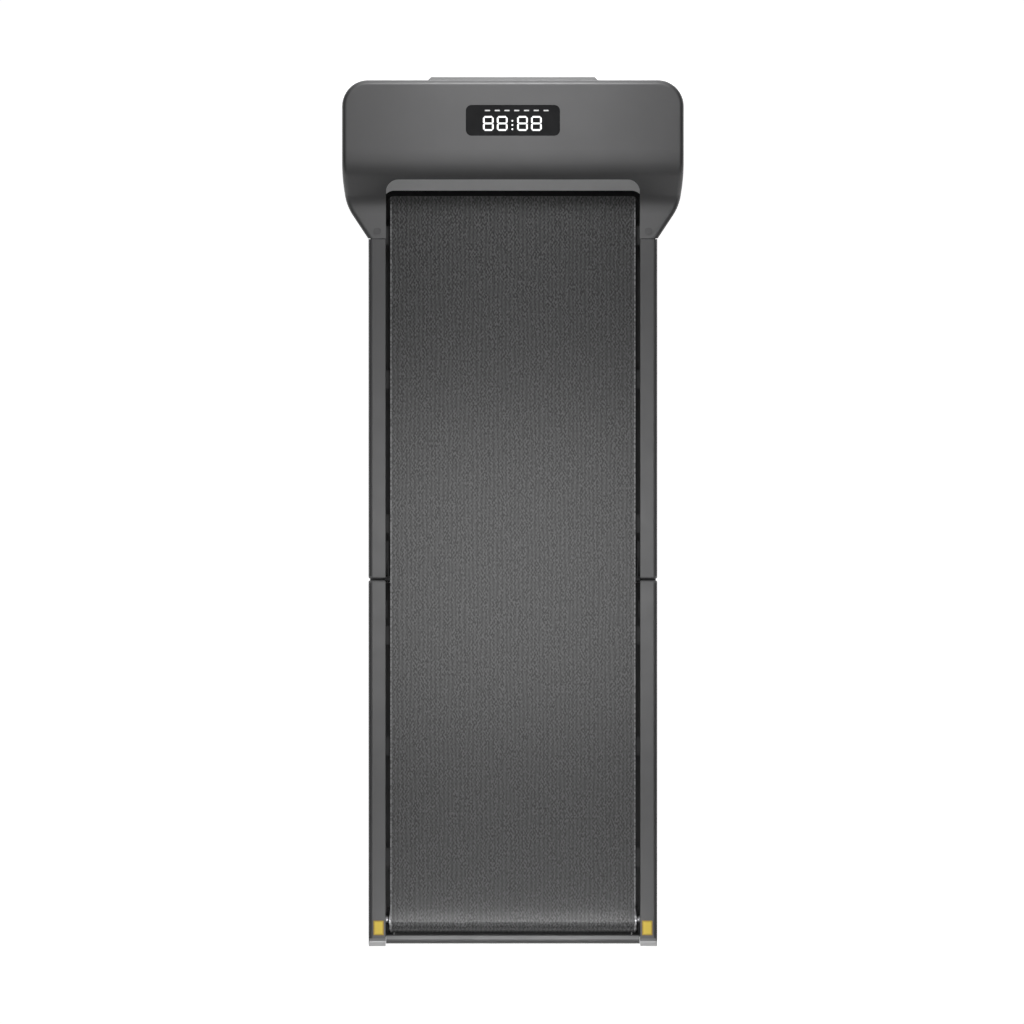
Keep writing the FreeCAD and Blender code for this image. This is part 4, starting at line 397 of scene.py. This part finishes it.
# Directions of the lines in worked metal: along the pad, across it, and round an axis that lies across it
ALONG = (1.0, 0.03, 1.0)
ACROSS = (0.03, 1.0, 1.0)
TURNED = (1.0, 0.05, 0.05)
finishes = {
    # Hood and rails: faces that turn left or right are painted darker, as painted shade on their rounded side
    # edges
    "hood_plastic": moulded("hood_finish", (0.155, 0.155, 0.157), 0.42, side_shade=0.3),
    "pan_plastic": moulded("pan_finish", (0.03, 0.03, 0.031), 0.55),
    "rail_plastic": moulded("rail_finish", (0.117, 0.117, 0.119), 0.42, side_shade=0.4),
    "plug_plastic": moulded("plug_finish", (0.12, 0.12, 0.122), 0.45),
    "guard_plastic": moulded("guard_finish", (0.9, 0.9, 0.902), 0.4),
    "panel_plastic": moulded("panel_finish", (0.34, 0.34, 0.342), 0.4),
    # End caps and rear bar: a strip across each keeps the light colour as a painted highlight, and the rest
    # is painted darker as shade
    "cap_plastic": moulded("cap_finish", (0.6, 0.6, 0.603), 0.3, painted_highlight=(*CAP_PAINTED_HIGHLIGHT, 0.3)),
    "rear_bar_plastic": moulded("rear_bar_finish", (0.215, 0.215, 0.217), 0.4, painted_highlight=(*BAR_PAINTED_HIGHLIGHT, 0.41)),
    "inlet_plastic": moulded("inlet_finish", (0.02, 0.02, 0.021), 0.55),
    "window_gloss": gloss_plastic("window_finish", (0.022, 0.022, 0.023), 0.12),
    "rocker_plastic": gloss_plastic("rocker_finish", (0.02, 0.02, 0.021), 0.2),
    "plate_yellow": rimmed_plate("plate_finish", (0.9, 0.66, 0.06), (0.32, 0.16, 0.015)),
    "capacitor_sleeve": gloss_plastic("sleeve_finish", (0.02, 0.02, 0.05), 0.3),
    # The lip behind the belt guard is a real rubber part, coloured near pure black as painted shadow of the
    # gap under the guard's rear edge
    "soft_black": rubber("lip_painted_shadow_finish", (0.003, 0.003, 0.003)),
    "bumper_rubber": rubber("bumper_finish", (0.135, 0.135, 0.137), 0.5),
    "foot_rubber": rubber("foot_finish", (0.025, 0.025, 0.025)),
    "wheel_rubber": rubber("wheel_finish", (0.03, 0.03, 0.031)),
    "drive_rubber": rubber("drive_belt_finish", (0.02, 0.02, 0.02)),
    "belt_surface": woven_belt("belt_finish"),
    "frame_steel": coated_steel("frame_finish", (0.06, 0.06, 0.061), 0.62),
    "hinge_steel": coated_steel("hinge_finish", (0.012, 0.012, 0.013), 0.6),
    "motor_paint": coated_steel("motor_finish", (0.04, 0.04, 0.043), 0.4),
    "tray_steel": bare_metal("tray_finish", (0.52, 0.53, 0.54), 0.42, ACROSS),
    "bright_steel": bare_metal("bright_steel_finish", (0.42, 0.42, 0.43), 0.42, ACROSS),
    "roller_steel": bare_metal("roller_finish", (0.5, 0.5, 0.51), 0.32, TURNED),
    "bolt_steel": bare_metal("bolt_finish", (0.45, 0.45, 0.46), 0.34, ALONG),
    "contact_brass": bare_metal("contact_finish", (0.75, 0.6, 0.3), 0.28, ALONG),
    "pulley_alloy": bare_metal("pulley_finish", (0.6, 0.6, 0.61), 0.3, TURNED),
    "sink_alloy": bare_metal("heatsink_finish", (0.55, 0.55, 0.56), 0.38, ALONG),
    "deck_wood": filmed_board("deck_finish", (0.05, 0.04, 0.033)),
    "circuit_board": circuit_board("board_finish", (0.02, 0.1, 0.05)),
}
# Pins that sit in the shade of the fold are blackened like the hinge plates round them
BLACKENED = ["hinge_pins"]
for name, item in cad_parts.items():
    slot = "hinge_steel" if name in BLACKENED else item.data.materials[0].name
    item.data.materials.clear()
    item.data.materials.append(finishes[slot])


# Mesh helpers

def new_piece(name, shape, material, body=None):
    """Turns a bmesh into a piece of the object, on a body when one is given."""
    bmesh.ops.recalc_face_normals(shape, faces=shape.faces)
    mesh = bpy.data.meshes.new(name)
    shape.to_mesh(mesh)
    shape.free()
    mesh.materials.append(material)
    piece = bpy.data.objects.new(name, mesh)
    bpy.context.scene.collection.objects.link(piece)
    if body:
        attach(piece, body)
    return piece


def add_plate(shape, outline, bottom, top):
    """A flat plate with an outline of (x, y) points."""
    lower = [shape.verts.new((x, y, bottom)) for x, y in outline]
    upper = [shape.verts.new((x, y, top)) for x, y in outline]
    shape.faces.new(list(reversed(lower)))
    shape.faces.new(upper)
    for i in range(len(outline)):
        j = (i + 1) % len(outline)
        shape.faces.new((lower[i], lower[j], upper[j], upper[i]))


# Walking belt: one band round both rollers, with closer stations where it crosses the fold
BELT_THICKNESS = 2.0 * MM
BELT_CHAMFER = 0.3 * MM
BEND_REACH = 6.0 * MM
RUN_STEPS = 40
BEND_STEPS = 36
TURN_STEPS = 28
SHARP_EDGE = math.radians(35)


def belt_stations():
    """Points along the band's outer face in the YZ plane, each with its outward direction."""
    radius = (belt_front_high.z - belt_front_low.z) / 2
    height = (belt_front_high.z + belt_front_low.z) / 2
    front = belt_front_high.y - radius
    rear = belt_rear_low.y + radius
    run = []
    for start, end, steps in ((rear, FOLD_Y - BEND_REACH, RUN_STEPS),
                              (FOLD_Y - BEND_REACH, FOLD_Y + BEND_REACH, BEND_STEPS),
                              (FOLD_Y + BEND_REACH, front, RUN_STEPS)):
        run += [start + (end - start) * k / steps for k in range(steps)]
    stations = [((y, height + radius), (0.0, 1.0)) for y in run]
    for k in range(TURN_STEPS):
        angle = math.pi / 2 - math.pi * k / TURN_STEPS
        out = (math.cos(angle), math.sin(angle))
        stations.append(((front + radius * out[0], height + radius * out[1]), out))
    stations += [((y, height - radius), (0.0, -1.0)) for y in reversed(run[1:] + [front])]
    for k in range(TURN_STEPS):
        angle = -math.pi / 2 - math.pi * k / TURN_STEPS
        out = (math.cos(angle), math.sin(angle))
        stations.append(((rear + radius * out[0], height + radius * out[1]), out))
    return stations


def make_belt():
    """The band's section carried along its stations and closed into a loop."""
    half = BELT_HALF_WIDTH
    section = [(-half + BELT_CHAMFER, 0.0), (half - BELT_CHAMFER, 0.0),
               (half, BELT_CHAMFER), (half, BELT_THICKNESS - BELT_CHAMFER),
               (half - BELT_CHAMFER, BELT_THICKNESS), (-half + BELT_CHAMFER, BELT_THICKNESS),
               (-half, BELT_THICKNESS - BELT_CHAMFER), (-half, BELT_CHAMFER)]
    shape = bmesh.new()
    rings = []
    for (y, z), (out_y, out_z) in belt_stations():
        rings.append([shape.verts.new((x, y - out_y * depth, z - out_z * depth)) for x, depth in section])
    for ring, following in zip(rings, rings[1:] + rings[:1]):
        for i in range(len(section)):
            j = (i + 1) % len(section)
            shape.faces.new((ring[i], ring[j], following[j], following[i]))
    belt = new_piece("walking_belt", shape, finishes["belt_surface"])
    for face in belt.data.polygons:
        face.use_smooth = True
    belt.data.set_sharp_from_angle(angle=SHARP_EDGE)
    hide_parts("belt_front", "belt_rear")
    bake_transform(belt)


make_belt()


# Display: four seven-segment figures with dots between them, and a row of plain dashes above
WINDOW_Y = (window_low.y + window_high.y) / 2
MARK_BOTTOM = window_high.z
MARK_TOP = MARK_BOTTOM + 0.1 * MM
CORNER_SHARE = 0.4
WHITE = (1.0, 1.0, 1.0)
FIGURE_GLOW = 1.0
DASH_GLOW = 0.2
FIGURE_SHIFT = -0.9
FIGURE_CENTRES = [(FIGURE_SHIFT + offset) * MM for offset in (-38.7, -16.3, 16.3, 38.7)]
FIGURE_Y = WINDOW_Y - 5.0 * MM
FIGURE_WIDTH = 17.2 * MM
FIGURE_HEIGHT = 23.9 * MM
STROKE = 2.7 * MM
STROKE_GAP = 0.45 * MM
DOT_HEIGHTS = [FIGURE_Y + offset * MM for offset in (4.2, -2.6, -9.2)]
DOT_WIDTH = 2.8 * MM
DASH_COUNT = 7
DASH_PITCH = 15.7 * MM
DASH_START = -40.9 * MM
DASH_Y = WINDOW_Y + 15.8 * MM
DASH_LENGTH = 8.4 * MM
DASH_HEIGHT = 2.2 * MM


def segment(start, end):
    """Outline of one stroke with pointed ends, upright or level."""
    along = (Vector(end) - Vector(start)).normalized()
    aside = Vector((-along.y, along.x)) * STROKE / 2
    first = Vector(start) + along * STROKE_GAP
    last = Vector(end) - along * STROKE_GAP
    inset = along * STROKE / 2
    return [first, first + inset - aside, last - inset - aside,
            last, last - inset + aside, first + inset + aside]


def rounded_block(x, y, width, height, corner):
    """Outline of a block round the point (x, y), with round corners."""
    points = []
    for k in range(4):
        cx = x + (width / 2 - corner) * (1 if k in (0, 3) else -1)
        cy = y + (height / 2 - corner) * (1 if k in (0, 1) else -1)
        for step in range(4):
            angle = math.pi / 2 * (k + step / 3)
            points.append((cx + corner * math.cos(angle), cy + corner * math.sin(angle)))
    return points


def make_display():
    """All segments of the figures, the dots and the dashes, as thin lit plates on the window."""
    figures = bmesh.new()
    side = (FIGURE_WIDTH - STROKE) / 2
    rise = (FIGURE_HEIGHT - STROKE) / 2
    for centre in FIGURE_CENTRES:
        for level in (-rise, 0.0, rise):
            add_plate(figures, segment((centre - side, FIGURE_Y + level), (centre + side, FIGURE_Y + level)),
                      MARK_BOTTOM, MARK_TOP)
        for edge in (-side, side):
            for low, high in ((-rise, 0.0), (0.0, rise)):
                add_plate(figures, segment((centre + edge, FIGURE_Y + low), (centre + edge, FIGURE_Y + high)),
                          MARK_BOTTOM, MARK_TOP)
    dot_x = (FIGURE_CENTRES[1] + FIGURE_CENTRES[2]) / 2
    for dot_y in DOT_HEIGHTS:
        add_plate(figures, rounded_block(dot_x, dot_y, DOT_WIDTH, DOT_WIDTH, DOT_WIDTH * CORNER_SHARE),
                  MARK_BOTTOM, MARK_TOP)
    new_piece("display_figures", figures, lit_marks("figure_light", WHITE, FIGURE_GLOW), "front_half")
    dashes = bmesh.new()
    for k in range(DASH_COUNT):
        add_plate(dashes, rounded_block(DASH_START + DASH_PITCH * k, DASH_Y, DASH_LENGTH, DASH_HEIGHT,
                                        DASH_HEIGHT * CORNER_SHARE), MARK_BOTTOM, MARK_TOP)
    new_piece("display_dashes", dashes, lit_marks("dash_light", WHITE, DASH_GLOW), "front_half")


make_display()


# Studio: a white lit table with a painted shadow under the fold seam, where its glow is turned down, with a
# lower sheet for views that start below it, and softboxes over the pad and at its ends
SEAM_SHADE_REACH = 16 * MM
FLOOR_HALF_SIZE = 14.0
FLOOR_CELLS = 8
FLOOR_DEPTH = 1.0
FLOOR_DROP = 0.2 * MM
FLOOR_GLOW = 1.0
FLOOR_CLOUD = 0.6
AIR_GREY = 0.015


def make_floor():
    """The two sheets of the table as one stage piece."""
    shape = bmesh.new()
    for sheet in (0.0, -FLOOR_DEPTH):
        bmesh.ops.create_grid(shape, x_segments=FLOOR_CELLS, y_segments=FLOOR_CELLS, size=FLOOR_HALF_SIZE,
                              matrix=Matrix.Translation((0.0, 0.0, sheet)))
    mesh = bpy.data.meshes.new("studio_floor")
    shape.to_mesh(mesh)
    shape.free()
    material, tree, shader = new_material("floor_white")
    shader.inputs["Roughness"].default_value = 0.9
    shader.inputs["Specular IOR Level"].default_value = 0.1
    shader.inputs["Emission Color"].default_value = (*WHITE, 1.0)
    spot_x, spot_y = spot_axes(tree)
    # Painted shadow: the glow is off within half of SEAM_SHADE_REACH of the fold seam and comes back to full
    # at SEAM_SHADE_REACH, out to a little past the rails' inner edges
    from_seam = absolute(tree, combine(tree, "SUBTRACT", spot_y, FOLD_Y))
    from_middle = absolute(tree, spot_x)
    under = combine(tree, "MINIMUM", combine(tree, "SUBTRACT", SEAM_SHADE_REACH, from_seam),
                    combine(tree, "SUBTRACT", rail_inner_x + SEAM_SHADE_REACH, from_middle))
    shaded = combine(tree, "DIVIDE", under, SEAM_SHADE_REACH)
    tree.links.new(ramp(tree, shaded, [(0.0, FLOOR_GLOW), (0.5, 0.0)]), shader.inputs["Emission Strength"])
    tone = noise(tree, FLOOR_CLOUD, detail=2.0)
    tree.links.new(ramp(tree, tone, [(0.3, 0.78), (0.7, 0.82)]), shader.inputs["Base Color"])
    mesh.materials.append(material)
    floor = bpy.data.objects.new("studio_floor", mesh)
    floor.location.z = FLOOR_Z - FLOOR_DROP
    bpy.context.scene.collection.objects.link(floor)


def softbox(name, place_at, look_at, width, depth, power, beam):
    """An area light that the camera doesn't see, with its power in watts and its beam in degrees."""
    light = bpy.data.lights.new(name, "AREA")
    light.shape = "RECTANGLE"
    light.size = width
    light.size_y = depth
    light.energy = power
    light.spread = math.radians(beam)
    item = bpy.data.objects.new(name, light)
    item.location = place_at
    item.rotation_euler = (Vector(look_at) - Vector(place_at)).to_track_quat("-Z", "Y").to_euler()
    item.visible_camera = False
    bpy.context.scene.collection.objects.link(item)


make_floor()
softbox("deck_softbox", (0.0, -0.1, 0.95), (0.0, -0.1, 0.0), 0.7, 0.56, 1.3, 86)
softbox("tail_softbox", (0.0, -0.56, 0.95), (0.0, -0.56, 0.0), 0.7, 0.3, 0.21, 70)
softbox("head_softbox", (0.0, 1.2, 0.72), (0.0, 0.6, 0.1), 0.35, 0.22, 1.6, 80)
softbox("top_softbox", (0.0, 0.43, 1.3), (0.0, 0.48, 0.0), 0.5, 0.14, 0.1, 60)
softbox("back_softbox", (0.0, -0.92, 0.91), (0.0, -0.67, 0.05), 0.7, 0.16, 0.2, 30)
softbox("low_back_softbox", (0.0, -1.3, 0.66), (0.0, -0.67, 0.05), 0.7, 0.4, 0.1, 30)
softbox("roller_softbox", (0.0, -0.657, 0.096), (0.0, -0.657, 0.0), 0.39, 0.02, 0.025, 120)
world = bpy.data.worlds.new("studio_air")
world.use_nodes = True
world.node_tree.nodes["Background"].inputs["Color"].default_value = (AIR_GREY, AIR_GREY, AIR_GREY, 1.0)
bpy.context.scene.world = world
bpy.context.scene.view_settings.view_transform = "Standard"

# Camera straight above, as in the photograph
PIXEL = 1.61 * MM
IMAGE_PIXELS = 1024
MIDDLE_PIXEL = (512.9, 511.75)
CAMERA_HEIGHT = 12.0
lens = bpy.data.cameras.new("photo_camera")
lens.type = "ORTHO"
lens.ortho_scale = PIXEL * IMAGE_PIXELS
camera = bpy.data.objects.new("photo_camera", lens)
camera.location = ((IMAGE_PIXELS / 2 - MIDDLE_PIXEL[0]) * PIXEL,
                   (MIDDLE_PIXEL[1] - IMAGE_PIXELS / 2) * PIXEL,
                   CAMERA_HEIGHT)
bpy.context.scene.collection.objects.link(camera)
bpy.context.scene.camera = camera
